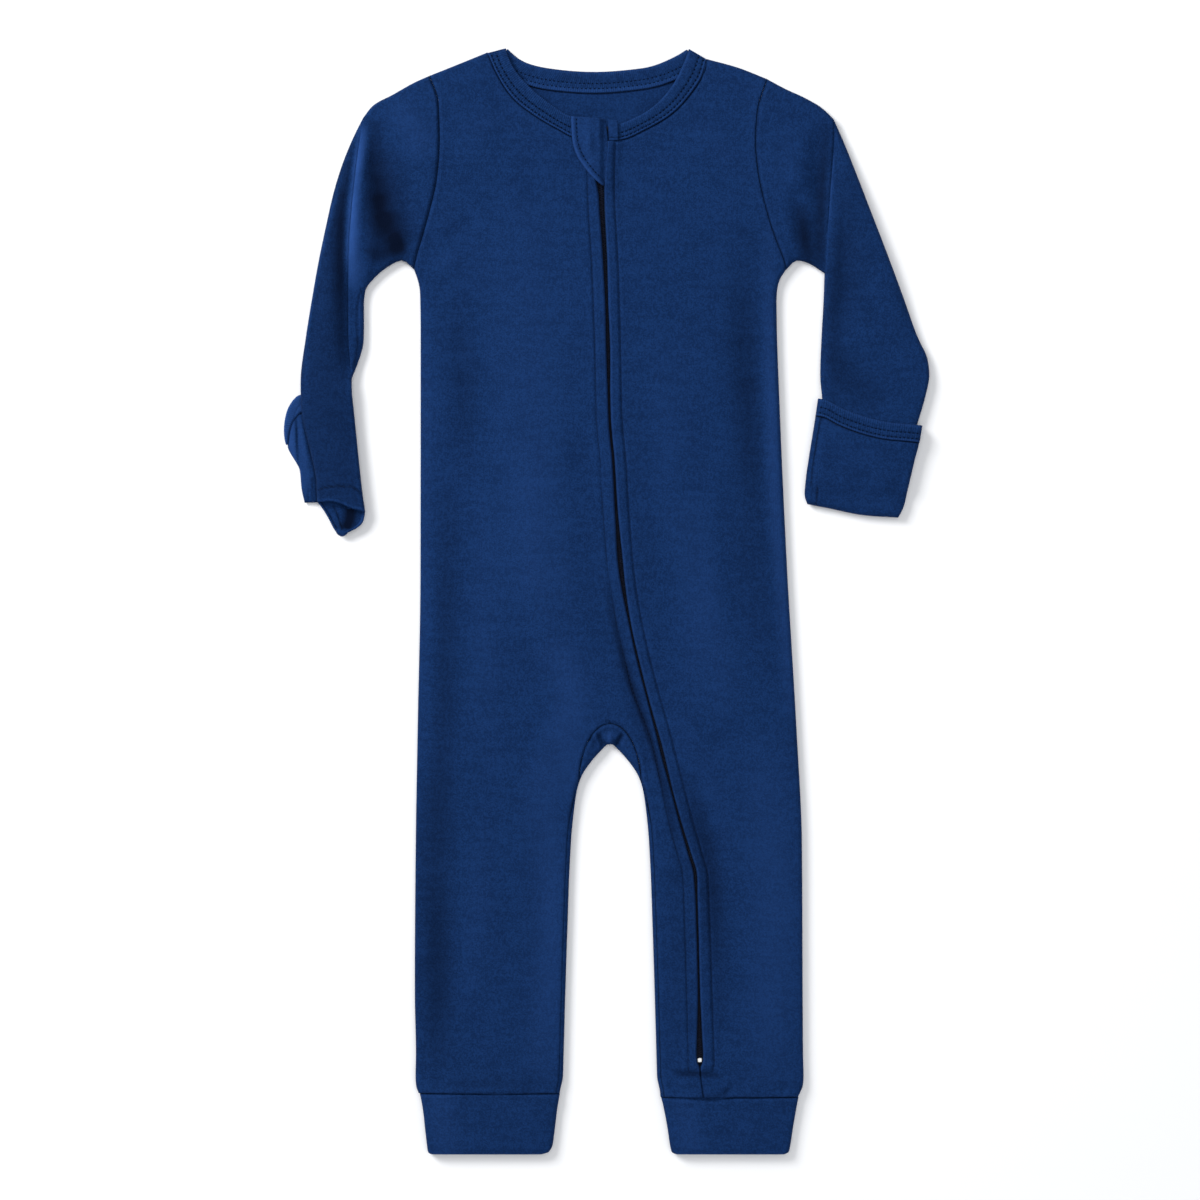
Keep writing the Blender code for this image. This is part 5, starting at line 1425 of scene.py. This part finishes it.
def makeNeckBinding():
    # one strip: down from the zip, round each shoulder fold and across the back
    width = binding["neckWidth"]
    places = stripAcross(width)
    middle = binding["neckLoft"] / 2
    rows, runs, shades, start = [], [], [], 0.0
    for part, count in zip(("front right", "back", "front left"), binding["neckRows"]):
        stations = np.array(neck[part], float)
        length = lengthOf(stations[:, 1])
        ends = {"front right": ((0.0, 1.0, 2.0), roll), "back": (roll, roll),
                "front left": (roll, (0.0, 1.0, 2.0))}[part]
        t = spread(ends[0], ends[1], count - len(ends[0]) - len(ends[1]), length)[0] / length
        free, sewn = along(stations[:, 0], t), along(stations[:, 1], t)
        distance = {"front right": 1 - t, "back": np.minimum(t, 1 - t),
                    "front left": t}[part] * length
        level = crown(distance, lay["round"]) * (-1 if part == "back" else 1)
        across = free[:, None] + (sewn - free)[:, None] * (places / width)[None, :, None]
        across[..., 1] -= 1.5 * bell(distance, 2.4)[:, None] * (1 - 0.5 * places / width)
        profile, shade = stripProfile(places, width)
        face = np.abs(level)[:, None] * profile[None]
        if part == "back":
            height = middle + middle * level[:, None] + np.maximum(face + 0.35, 0)
        else:
            stands = 0.9 * levelling(distance, 26.0)[:, None]
            height = middle + middle * level[:, None] + face + stands
        rows.append(withHeight(across, height))
        runs.append(np.stack([np.broadcast_to((start + t * length)[:, None], height.shape),
                              np.broadcast_to(places, height.shape), 0 * height], -1))
        shades.append(np.broadcast_to(shade, height.shape))
        start += length
    net, lays, shade = (np.concatenate(each) for each in (rows, runs, shades))
    return makeMesh("neckBinding", [(net, False, shade, lays)], ribbed, lay["doubleWall"]), net


neckBinding, neckNet = makeNeckBinding()
standsFor(neckBinding, "neck_binding")
print("neck binding made")


# Left mitten: a pocket over the sleeve's end, its mouth under a ribbed binding
mittenLeft = {
    "inner": ((116.3, 110.4), (114.5, 98), (111.6, 80), (109.6, 66), (109, 57.5), (110.6, 52.6)),
    "outer": ((173.4, 95.6), (172, 87), (169, 75), (165.6, 60.5), (163, 50), (160.4, 45.2)),
    "end": ((110.6, 52.6), (122, 50.4), (141, 46.6), (160.4, 45.2)),
    "mouth": ((116.3, 110.4), (120.4, 109.6), (128, 105.6), (140, 100.9),
              (155, 97.3), (166, 96.3), (173.4, 95.6)),
    "width": 9.6, "bindingHeight": 8.1, "loft": 7.2, "flat": 5.4, "thins": (65, 56),
    "rows": 44, "columns": 40,
    "sideSeam": ((119.4, 110), (118.4, 103), (116.6, 94), (115.2, 86), (113.6, 76), (112, 62.5)),
    "innerSeam": ((115.6, 62.5), (115.2, 52.6)),
    "creases": (
        (((118.6, 104), (116.4, 88), (113, 66)), -0.5, 0.9, 0),
        (((122, 92), (119, 76), (117, 62)), 0.5, 2.6, 0),
        (((128, 84), (125, 70), (124, 58)), -0.45, 3.6, 0),
        (((112.5, 68), (117, 66.5)), 0.35, 1.2, 0),
        (((150, 86), (152, 70), (150, 56)), 0.5, 7, 0),
        (((165, 82), (161, 66), (157, 54)), -0.4, 4, 0),
        (((128, 57), (142, 53.5), (154, 52)), -0.35, 2.4, 0),
    ),
}


def chainAfter(points, distance, fractions):
    # points along a chain, from a distance past its first point to its last
    start = distance / lengthOf(points)
    return along(points, start + (1 - start) * np.asarray(fractions, float))


def mittenLine(distance, u):
    # a line across the closed mitten, a distance below its mouth
    mouth = along(mittenLeft["mouth"], u)
    inner = chainAfter(mittenLeft["inner"], distance, [0.0]) - mouth[0]
    outer = chainAfter(mittenLeft["outer"], distance, [0.0]) - mouth[-1]
    return mouth + (1 - u)[:, None] * inner + u[:, None] * outer


def makeMittenLeft():
    # a pocket patch between its four lines, front and back, thinning down its length, and a
    # ribbed strip along its mouth that rounds down at both ends
    width = lengthOf(mittenLeft["mouth"])
    u = spread(roll, roll, mittenLeft["columns"], width)[0] / width
    seam = mittenLeft["width"] + lay["seam"]
    depth = lengthOf(mittenLeft["inner"]) - seam
    v = spread((0.0, 0.3, 0.7, 1.3, 2.0), roll, mittenLeft["rows"], depth)[0] / depth
    pocket = coons(mittenLine(seam, u), along(mittenLeft["end"], u),
                   chainAfter(mittenLeft["inner"], seam, v),
                   chainAfter(mittenLeft["outer"], seam, v), u, v)
    above = np.array([mittenLine(each, u) for each in np.linspace(0, seam, 8)[:-1]])
    plan = np.concatenate([above, pocket])
    begins, ends = mittenLeft["thins"]
    loft = (mittenLeft["flat"]
            + (mittenLeft["loft"] - mittenLeft["flat"]) * ramp(ends, begins, plan[..., 1]))
    folds = reach(plan, [plan[:, 0], plan[:, -1], plan[-1]])
    rise = np.maximum(loft / 2 * crown(folds, lay["round"]), lay["meet"])
    puff = 1.2 * levelling(folds, 14.0)
    topSeam = mittenLine(seam - 0.1, np.linspace(0, 1, 60))
    distance = measure(plan, topSeam)[0]
    lift = (puff + creased(plan, mittenLeft["creases"]) * ramp(0.3, 2.0, folds)
            - 0.5 * bell(distance, 0.5) + 0.25 * bell(distance - 1.6, 1.2))
    # painted shade in the seam under the binding and along the side and inner seams
    shade = -0.9 * bell(distance, 0.4)
    for line in ("sideSeam", "innerSeam"):
        away = measure(plan, curveOf(mittenLeft[line], 20))[0]
        shade = shade - 0.8 * bell(away, 0.4)
        lift = lift - 0.3 * bell(away, 0.4)
    front = (loft / 2 + rise + lift)[len(above):]
    piece = makeMesh("mittenLeft", [
        (withHeight(pocket, front), False, shade[len(above):]),
        (withHeight(plan, loft / 2 - rise), True, 0.0)], knitFinish("mittenKnit", 9.0),
        lay["wall"])

    width = mittenLeft["width"]
    places = stripAcross(width)
    strip = np.array([mittenLine(each, u) for each in places])
    profile, shade = stripProfile(places, width)
    edge = np.minimum(u, 1 - u) * lengthOf(mittenLeft["mouth"])
    level = crown(edge, lay["round"])
    height = (mittenLeft["bindingHeight"] - middleHeight * (1 - level)[None]
              + profile[:, None] * level[None]
              + 0.7 * levelling(edge, 16.0)[None])
    lays = np.stack([np.broadcast_to(u * lengthOf(mittenLeft["mouth"]), height.shape),
                     np.broadcast_to(places[:, None], height.shape), 0 * height], -1)
    shade = np.broadcast_to(shade[:, None], height.shape)
    bound = makeMesh("mittenLeftBinding", [(withHeight(strip, height), False, shade, lays)],
                     ribbed, lay["doubleWall"])
    return piece, bound, withHeight(strip, height), places, withHeight(pocket, front)


mittenPocket, mittenBound, mittenStrip, mittenPlaces, mittenFace = makeMittenLeft()
standsFor(mittenPocket, "mitten_left")
standsFor(mittenBound, "mitten_left_binding")


# Right mitten: turned back behind the wrist, with the binding showing along its rim
mittenRight = {
    "outer": ((-158, 105.2), (-166.4, 103.6), (-171.3, 99.8), (-173.5, 95.1),
              (-174.6, 88), (-175, 84.2), (-173.4, 80.6), (-170.5, 75.9),
              (-168.3, 71.5), (-167.2, 60.5), (-165.6, 53.4)),
    "inner": ((-146, 105.2), (-143, 103.6), (-141.5, 99.8), (-140.5, 95.1),
              (-139, 88), (-138.4, 84.2), (-137.8, 80.6), (-137.2, 75.9),
              (-137, 71.5), (-138, 60.5), (-141, 54.6)),
    "rimOuter": ((-157, 113.4), (-168, 112.8), (-173.8, 107.2), (-176.2, 100.5),
                 (-177, 93.5), (-176.6, 88), (-175.8, 85.2)),
    "rimInner": ((-157, 104.6), (-166.2, 103.2), (-170.9, 99.4), (-173, 94.9),
                 (-173.9, 91.3), (-174.3, 88), (-174.8, 85.4)),
    # painted strokes: painted highlights down the outer side, painted shade in two creases
    "paintedStrokes": ((((-172, 106), (-173.6, 92), (-171, 76), (-167.4, 58)), 1.2, 2.6, 0),
              (((-167, 108), (-168, 92), (-165.4, 76), (-164, 56)), 0.6, 2.6, 0),
              (((-170.2, 101), (-169.8, 88), (-169.2, 73)), -1.3, 0.7, 0),
              (((-161.4, 68), (-161.2, 54)), -0.6, 0.6, 0)),
    "thickness": 2.6, "rimThickness": 3.3, "soft": 1.3,
    "creases": (
        (((-169.9, 101), (-169.6, 92), (-169.8, 82)), -0.45, 0.8, 0.3),
        (((-164.5, 104), (-166, 96), (-165, 84), (-163.6, 70)), 0.55, 1.8, 0),
        (((-163.2, 62), (-163, 54.5)), -0.4, 0.5, 0),
        (((-161.8, 62), (-161.6, 54.5)), -0.3, 0.45, 0),
        (((-170, 76.5), (-166.5, 72), (-163.5, 68)), -0.3, 1.4, 0),
    ),
}


def between(outer, inner, rows, columns, soft):
    # net between two chains, with closer rows and columns along its rim
    edge = (0.0, 0.02 * soft, 0.1 * soft, 0.3 * soft, 0.6 * soft, soft)
    length = lengthOf(outer)
    t = spread(edge, edge, rows, length)[0] / length
    a, b = along(outer, t), along(inner, t)
    width = np.maximum(np.linalg.norm(b - a, axis=1), 1e-6)
    places = spread(edge, edge, columns, width)
    return a[:, None] + (b - a)[:, None] * (places / width[:, None])[..., None]


def pillow(name, plan, middle, half, soft, finish, lift=0.0, shade=0.0, lays=None):
    # a closed flat piece, rounded over at its rim
    inward = np.clip(inFromRim(plan) / soft, 0, 1)
    rise = half * np.sqrt(1 - (1 - inward) ** 2)
    nets = [(withHeight(plan, middle + rise + lift * inward), False, shade),
            (withHeight(plan, middle - rise), True, 0.0)]
    if lays is not None:
        nets = [(*net, lays) for net in nets]
    return makeMesh(name, nets, finish, 0.0, 0.006)


def makeMittenRight():
    # two pillows: the turned-back layers, and the bound rim along their edge
    plan = between(mittenRight["outer"], mittenRight["inner"], 60, 64, mittenRight["soft"])
    half = mittenRight["thickness"] / 2
    folds = inFromRim(plan)
    lift = 0.7 * levelling(folds, 7.0) + creased(plan, mittenRight["creases"])
    # painted strokes of light and shade, painted shade beside the rim and a painted shadow under the
    # sleeve's outer edge
    shade = (paintedShading(plan, mittenRight["paintedStrokes"])
             - 0.8 * bell(awayFrom(plan, mittenRight["rimInner"]), 0.5)
             - 0.8 * bell(awayFrom(plan, outline["right"]["outer"]), 1.3))
    layers = pillow("mittenRight", plan, half, half, mittenRight["soft"], sleeveKnit, lift,
                    shade)
    plan = between(mittenRight["rimOuter"], mittenRight["rimInner"], 50, 12,
                   mittenRight["soft"])
    half = mittenRight["rimThickness"] / 2
    distance, run = measure(plan, curveOf(mittenRight["rimOuter"]))[:2]
    lays = np.stack([run, distance, 0 * run], -1)
    # the rim is painted lighter, most of all at its outer edge
    rim = pillow("mittenRightBinding", plan, half, half, mittenRight["soft"], ribbed,
                 -0.3 * bell(distance - 5.0, 0.5), 0.8 + 0.5 * bell(distance, 1.6), lays)
    return layers, rim


sleeveKnit = knitFinish("mittenRightKnit", -8.0)
rightLayers, rightRim = makeMittenRight()
standsFor(rightLayers, "mitten_right")
standsFor(rightRim, "mitten_right_binding")
print("mittens made")


# Zip: woven tapes under the two bands, a moulded coil, slider, pull and bottom stop
zipper = {
    "across": (0.25, 1.0, 2.0, 2.6, 3.2, 4.0, 4.6, 6.0, 8.0),
    "tapeHeight": (2.0, 2.0, 2.0, 2.15, 2.5, 2.8, 2.9, 2.9, 2.9), "tapeWall": 0.6,
    "top": 260.0, "foot": -258.0, "rows": 210, "follow": 0.75,
    "coilTop": 247.0, "coilFoot": -250.6, "pitch": 1.3, "coilHeight": 3.0,
    "toothHalf": 1.62, "overlap": 0.5, "toothWidth": 0.36,
    "blocks": (     # name, middle, size, taper, the node and slot it stands for
        ("zipSlider", (-3.2, 243.0, 4.6), (3.9, 8.0, 1.6), 0.25, "zip_slider", "slider"),
        ("zipPull", (-6.0, 238.5, 6.05), (4.4, 15.0, 0.7), 0.2, "zip_pull", "slider"),
        ("zipBottomStop", (51.38, -252.2, 4.1), (2.5, 2.4, 1.5), 0.0, "zip_bottom_stop",
         "stop"),
    ),
}


def tapeFinish():
    # woven tape: fine stripes of weft and warp, in colour and bump
    made = Recipe("zipTape", Roughness=0.8, Specular_IOR_Level=0.25)
    weft = made.stripes(made.place(), 0.7, "Y")
    warp = made.stripes(made.place(), 0.8, "X")
    made.feed("Base Color", made.tint((0.0035, 0.0075, 0.022), (0.008, 0.017, 0.048),
                                      weft * 0.6 + warp * 0.4))
    made.bump(weft * 0.6 + warp * 0.4, 0.12)
    return made.material


def plainFinish(name, deep, light, rough, scale=0.9, depth=0.03, gloss=0.5):
    # moulded or cast surface, finely mottled in colour and gloss
    made = Recipe(name, Specular_IOR_Level=gloss)
    grain = made.noise(made.place(), scale, 3.0)
    made.feed("Base Color", made.tint(deep, light, made.between(0.3, 0.7, grain)))
    made.feed("Roughness", grain * 0.15 + (rough - 0.07))
    made.bump(made.noise(made.place(), scale * 3.0, 2.0), depth)
    return made.material


def carried(plan):
    # zip parts rise with the cloth that holds them
    return zipper["follow"] * puffed(plan)


def makeTape(turn, hand):
    # a strip beside the zip's middle line, with its own height at each place across
    heights = np.linspace(zipper["top"], zipper["foot"], zipper["rows"])
    across = (turn * np.array(zipper["across"]))[::turn]
    plan = acrossRows(zipMiddle(heights), np.broadcast_to(across, (len(heights), len(across))),
                      heights)
    rise = np.array(zipper["tapeHeight"])[::turn][None]
    piece = makeMesh("zipTape" + hand, [(withHeight(plan, rise + carried(plan)), False)],
                     tape, zipper["tapeWall"])
    standsFor(piece, "zip_tape_" + hand.lower())


def tubeMesh(name, rings, finish):
    # closed rods: rings holds (rods, rings, sides, 3), and both ends are capped
    rods, count, sides = rings.shape[:3]
    points = rings.reshape(-1, 3) * mm
    start = (np.arange(rods) * count * sides)[:, None, None]
    ring = (np.arange(count - 1) * sides)[None, :, None]
    side = np.arange(sides)[None, None]
    following = (side + 1) % sides
    quads = np.stack([start + ring + side, start + ring + following,
                      start + ring + sides + following, start + ring + sides + side], -1)
    first = start[:, :, 0] + np.arange(sides)[::-1][None]
    last = start[:, :, 0] + (count - 1) * sides + np.arange(sides)[None]
    faces = quads.reshape(-1, 4).tolist() + first.tolist() + last.tolist()
    mesh = bpy.data.meshes.new(name)
    mesh.from_pydata(points, [], faces)
    return placed(name, mesh, finish)


def rods(centres, ahead, length, radius, ends=0.35, dive=0.0, flat=0.85, sides=6):
    # rods along unit directions: thinner towards both ends, which dive by a share
    t = np.array([-0.5, -0.36, 0.36, 0.5])
    swell = np.array([ends, 1.0, 1.0, ends])
    fall = np.array([-dive, 0.0, 0.0, -dive])
    angle = np.arange(sides) * 2 * np.pi / sides
    beside = np.stack([-ahead[:, 1], ahead[:, 0], 0 * ahead[:, 0]], -1)
    beside /= np.linalg.norm(beside, axis=1, keepdims=True)
    up = np.cross(ahead, beside)
    up *= np.sign(up[:, 2:3])
    turned = np.cross(beside, up)
    sign = np.sign((turned * ahead).sum(1))[:, None, None, None]
    spine = centres[:, None] + ahead[:, None] * (t * length)[None, :, None]
    spine[..., 2] += fall[None]
    out = (beside[:, None, None] * (np.cos(angle)[None, None] * swell[None, :, None]
                                    * radius)[..., None] * sign
           + up[:, None, None] * (np.sin(angle)[None, None] * swell[None, :, None]
                                  * radius * flat)[..., None])
    return spine[:, :, None] + out


def makeCoil():
    # teeth from the two sides by turns, each a rod whose head passes the middle
    heights = np.arange(zipper["coilFoot"] + 0.6, zipper["coilTop"], zipper["pitch"] / 2)
    turn = np.where(np.arange(len(heights)) % 2 == 0, 1.0, -1.0)
    half, over = zipper["toothHalf"], zipper["overlap"]
    slope = (zipMiddle(heights + 0.5) - zipMiddle(heights - 0.5))
    beside = np.stack([np.ones_like(slope), -slope, 0 * slope], -1)
    beside /= np.linalg.norm(beside, axis=1, keepdims=True)
    middle = np.stack([zipMiddle(heights), heights], -1)
    rise = zipper["coilHeight"] + carried(middle)
    shift = turn * (half - over) / 2
    centres = np.concatenate([middle + beside[:, :2] * shift[:, None], rise[:, None]], 1)
    rings = rods(centres, beside, half + over, zipper["toothWidth"], 0.7)
    piece = tubeMesh("zipCoil", rings, plainFinish("coilNylon", (0.0014, 0.0032, 0.0120),
                                                   (0.0060, 0.0100, 0.0280), 0.5, gloss=0.14))
    standsFor(piece, "zip_coil")


def roundedBlock(name, at, size, taper, finish):
    # a pillow on a rounded oblong, a little narrower towards +Y when tapered
    u, v = np.linspace(-1, 1, 22), np.linspace(-1, 1, 30)
    grid = np.stack(np.meshgrid(u, v[::-1]), -1)
    square = np.max(np.abs(grid), -1)
    disc = np.linalg.norm(grid, axis=-1) + 1e-9
    plan = grid * (1 - 0.30 * (1 - square / disc)[..., None] * square[..., None] * 1.6)
    plan[..., 0] *= 1 - taper * (plan[..., 1] + 1) / 2
    plan = plan * (size[0] / 2, size[1] / 2) + at[:2]
    rise = carried(np.array([[at[:2]]]))[0, 0]
    return pillow(name, plan, at[2] + rise, size[2] / 2, min(0.45, size[2] / 2), finish)


tape = tapeFinish()
makeTape(-1, "Right")
makeTape(1, "Left")
makeCoil()
blockFinishes = {
    "slider": plainFinish("sliderLacquer", (0.009, 0.020, 0.062), (0.013, 0.028, 0.082), 0.35),
    "stop": plainFinish("stopResin", (0.72, 0.72, 0.70), (0.86, 0.86, 0.84), 0.4),
}
for name, at, size, taper, node, slotName in zipper["blocks"]:
    standsFor(roundedBlock(name, at, size, taper, blockFinishes[slotName]), node)
print("zip made")


# Guard: half-round double cloth over the pull, stitched round its curved edge
guard = {
    "straight": ((-0.4, 263.4), (1, 254), (1.4, 246), (0.6, 236), (-0.2, 230), (-1, 226.9)),
    "curved": ((-19.2, 265), (-18.9, 256), (-17.6, 247.5), (-11.6, 236.4),
               (-6.5, 230.4), (-2.6, 227.2)),
    "thickness": 1.6, "height": 5.9, "pullRise": 0.9, "stitch": 3, "underBand": 2,
    "creases": (
        (((-12.5, 260.5), (-10.5, 252), (-9.6, 243)), 1.2, 2.6, 0.2),
        (((-6, 259), (-5.4, 250), (-5.6, 241)), -0.5, 1.6, 0),
        (((-2.6, 262), (-4.2, 256), (-5, 250)), 0.5, 1.3, 0),
        (((-14, 245), (-10, 241), (-7, 240)), -0.35, 1.6, 0),
    ),
}


def guardLift(plan):
    # over the pull and over the puffed front
    return (guard["pullRise"] * ramp(-12.0, -8.5, plan[..., 0]) + puffed(plan)
            - guard["underBand"] * ramp(-4.0, -0.5, plan[..., 0]))


def makeGuard():
    # a pillow from the curved edge to the straight one, with a stitched groove
    plan = between(guard["curved"], guard["straight"], 56, 34, 0.9)
    half = guard["thickness"] / 2
    edge = awayFrom(plan, guard["curved"])
    top = plan[0, 0, 1] - plan[..., 1]
    groove = bell(edge - guard["stitch"], 0.4) * ramp(0.0, 2.0, top)
    lift = (creased(plan, guard["creases"]) - 0.38 * groove
            + 0.2 * bell(edge - 1.5, 0.9))
    # painted light: the guard lighter overall and at its curved edge, painted shade in the stitched
    # groove and towards the straight edge
    shade = (0.2 - 0.5 * groove + 0.7 * bell(edge - 0.6, 0.8)
             - 0.12 * ramp(-9.0, -3.0, plan[..., 0]))
    return pillow("zipGuard", plan, guard["height"] + half + guardLift(plan), half, 0.8,
                  knitFinish("guardKnit", 20.0), lift, shade)


guardPiece = standsFor(makeGuard(), "zip_guard")


# The left zip band's turned top, on the end of the neck binding
bandTop = {
    "left": ((1, 263.4), (1.3, 257.5), (1.5, 251.7)),
    "right": ((6.4, 262.5), (6.7, 257), (7, 251.7)),
    "height": 6.9, "thickness": 1.1, "soft": 0.7, "row": 5.6, "seam": 253.2,
}


def makeBandTop():
    # a small pillow with a stitched groove down it and a sunk seam across it
    plan = between(bandTop["left"], bandTop["right"], 30, 22, bandTop["soft"])
    half = bandTop["thickness"] / 2
    inward = plan[..., 0] - along(bandTop["left"], np.linspace(0, 1, 30))[:, None, 0].mean()
    groove = bell(inward - bandTop["row"], 0.35)
    seam = bell(plan[..., 1] - bandTop["seam"], 0.4)
    # painted shade in the stitched groove and the seam across it, a little painted light elsewhere
    return pillow("zipBandTop", plan, bandTop["height"], half, bandTop["soft"], knit,
                  -0.3 * groove - 0.3 * seam, 0.1 - 0.6 * groove - 0.7 * seam)


bandTopPiece = makeBandTop()


# Sewing: each stitch is a short rod of thread whose ends dive into the cloth
sewing = {
    "pitch": 2.45, "length": 1.6, "radius": 0.19, "sink": 0.02,
    "zipTop": 250.5, "guardCovers": 229.5,      # the guard hides the right row above this
    "thread": ((0.0022, 0.0095, 0.036), (0.0040, 0.0170, 0.060)),
    # shadedThread is painted shade: darker thread that stands for the shadow in the needle holes
    "shadedThread": ((0.0008, 0.0034, 0.0130), (0.0016, 0.0060, 0.0220)),
}
thread = plainFinish("navyThread", *sewing["thread"], 0.8, 2.0, 0.02, 0.08)
# painted shade: the darker thread for the needle holes
shadedThread = plainFinish("navyThreadPaintedShade", *sewing["shadedThread"], 0.9, 2.0, 0.02, 0.03)


def stitches(name, lines, pitch=None, length=None, radius=None, finish=thread):
    # lines holds chains of points on the cloth's face; a stitch every pitch along each
    pitch, length = pitch or sewing["pitch"], length or sewing["length"]
    radius = radius or sewing["radius"]
    rings = []
    for line in lines:
        line = np.asarray(line, float)
        run = runLengths(line)
        at = np.arange(pitch / 2, run[-1] - length / 2, pitch)
        if not len(at):
            continue
        near = [np.stack([np.interp(at + step, run, line[:, k]) for k in range(3)], -1)
                for step in (-length / 2, 0, length / 2)]
        ahead = near[2] - near[0]
        ahead /= np.linalg.norm(ahead, axis=1, keepdims=True)
        centre = near[1] + (0, 0, sewing["sink"])
        rings.append(rods(centre, ahead, length, radius, 0.45, 0.22))
    return tubeMesh(name, np.concatenate(rings), finish)


def onFront(plan, side):
    # points seen from above, laid on a front's outer face
    return withHeight(plan, upperHeight(plan, side)[0])


def zipStitchLines():
    # one row along each band, and a short row across each below the stop
    heights = np.linspace(sewing["zipTop"], zipLine["foot"], 420)
    lines = []
    for side, turn in (("right", -1), ("left", 1)):
        x = zipEdge(side, heights) + turn * bandWidth(side, heights)
        visible = (heights < sewing["guardCovers"]) | (side == "left")
        lines.append(onFront(np.stack([x, heights], -1)[visible], side))
        x = zipMiddle(zipLine["foot"]) + turn * np.linspace(0.4, zipLine["band"], 30)
        lines.append(onFront(np.stack([x, zipLine["foot"] + 0 * x], -1), side))
    return lines


def onNet(net, table, count=120):
    # a smooth chain laid on a net of points: height from the four nearest of them
    line = along(table, np.linspace(0, 1, count))[:, :2]
    flat = net.reshape(-1, 3)
    gaps = np.hypot(flat[:, 0] - line[:, :1], flat[:, 1] - line[:, 1:])
    nearest = np.argsort(gaps, axis=1)[:, :4]
    weight = 1 / (np.take_along_axis(gaps, nearest, 1) + 0.05)
    return withHeight(line, (flat[nearest, 2] * weight).sum(1) / weight.sum(1))


def guardStitchLine():
    # a row inside the guard's curved edge, its distance in from that edge kept
    edge = along(guard["curved"], np.linspace(0.02, 0.93, 120))
    ahead = np.gradient(edge, axis=0)
    ahead /= np.linalg.norm(ahead, axis=1, keepdims=True)
    line = edge + guard["stitch"] * np.stack([-ahead[:, 1], ahead[:, 0]], -1)
    rise = guard["height"] + guard["thickness"] + guardLift(line)
    return withHeight(line, rise + creased(line, guard["creases"]) - 0.38)


def alongNet(net, places, width, row):
    # the line of a strip's net that lies under one row of its stitches
    return net[int(np.argmin(np.abs(places - (width - row))))]


def neckStitchLines():
    # the binding's rows, each in three lengths that leave out the shoulder folds; behind
    # the neck they lie on the inner face, a wall higher
    places = stripAcross(binding["neckWidth"])
    lines = []
    turnsUnder = neckNet[:, 5, 2] < binding["neckLoft"] / 2
    for row in binding["stitchRows"]:
        chain = alongNet(neckNet.swapaxes(0, 1), places, binding["neckWidth"], row).copy()
        chain[turnsUnder, 2] += lay["doubleWall"]
        first, last = np.flatnonzero(turnsUnder)[[0, -1]]
        lines += [chain[:first - 6], chain[first + 6:last - 5], chain[last + 7:]]
    return lines


stitches("zipStitching", zipStitchLines())
stitches("neckStitching", neckStitchLines(), 2.35, 1.15, 0.5, shadedThread)
stitches("guardStitching", [guardStitchLine()], 2.3, 1.15, 0.38, shadedThread)
stitches("hemStitching", [onNet(rightForearm, sleeves["hem"])], 2.6, 1.7)
stitches("mittenSeamStitching", [onNet(mittenFace, mittenLeft[each])
                                 for each in ("sideSeam", "innerSeam")], 2.5, 1.6)
stitches("mittenStitching", [alongNet(mittenStrip, mittenPlaces, mittenLeft["width"], row)[6:-6]
                             for row in binding["stitchRows"]], 2.3, 1.1, 0.36, shadedThread)
print("guard and stitching made")
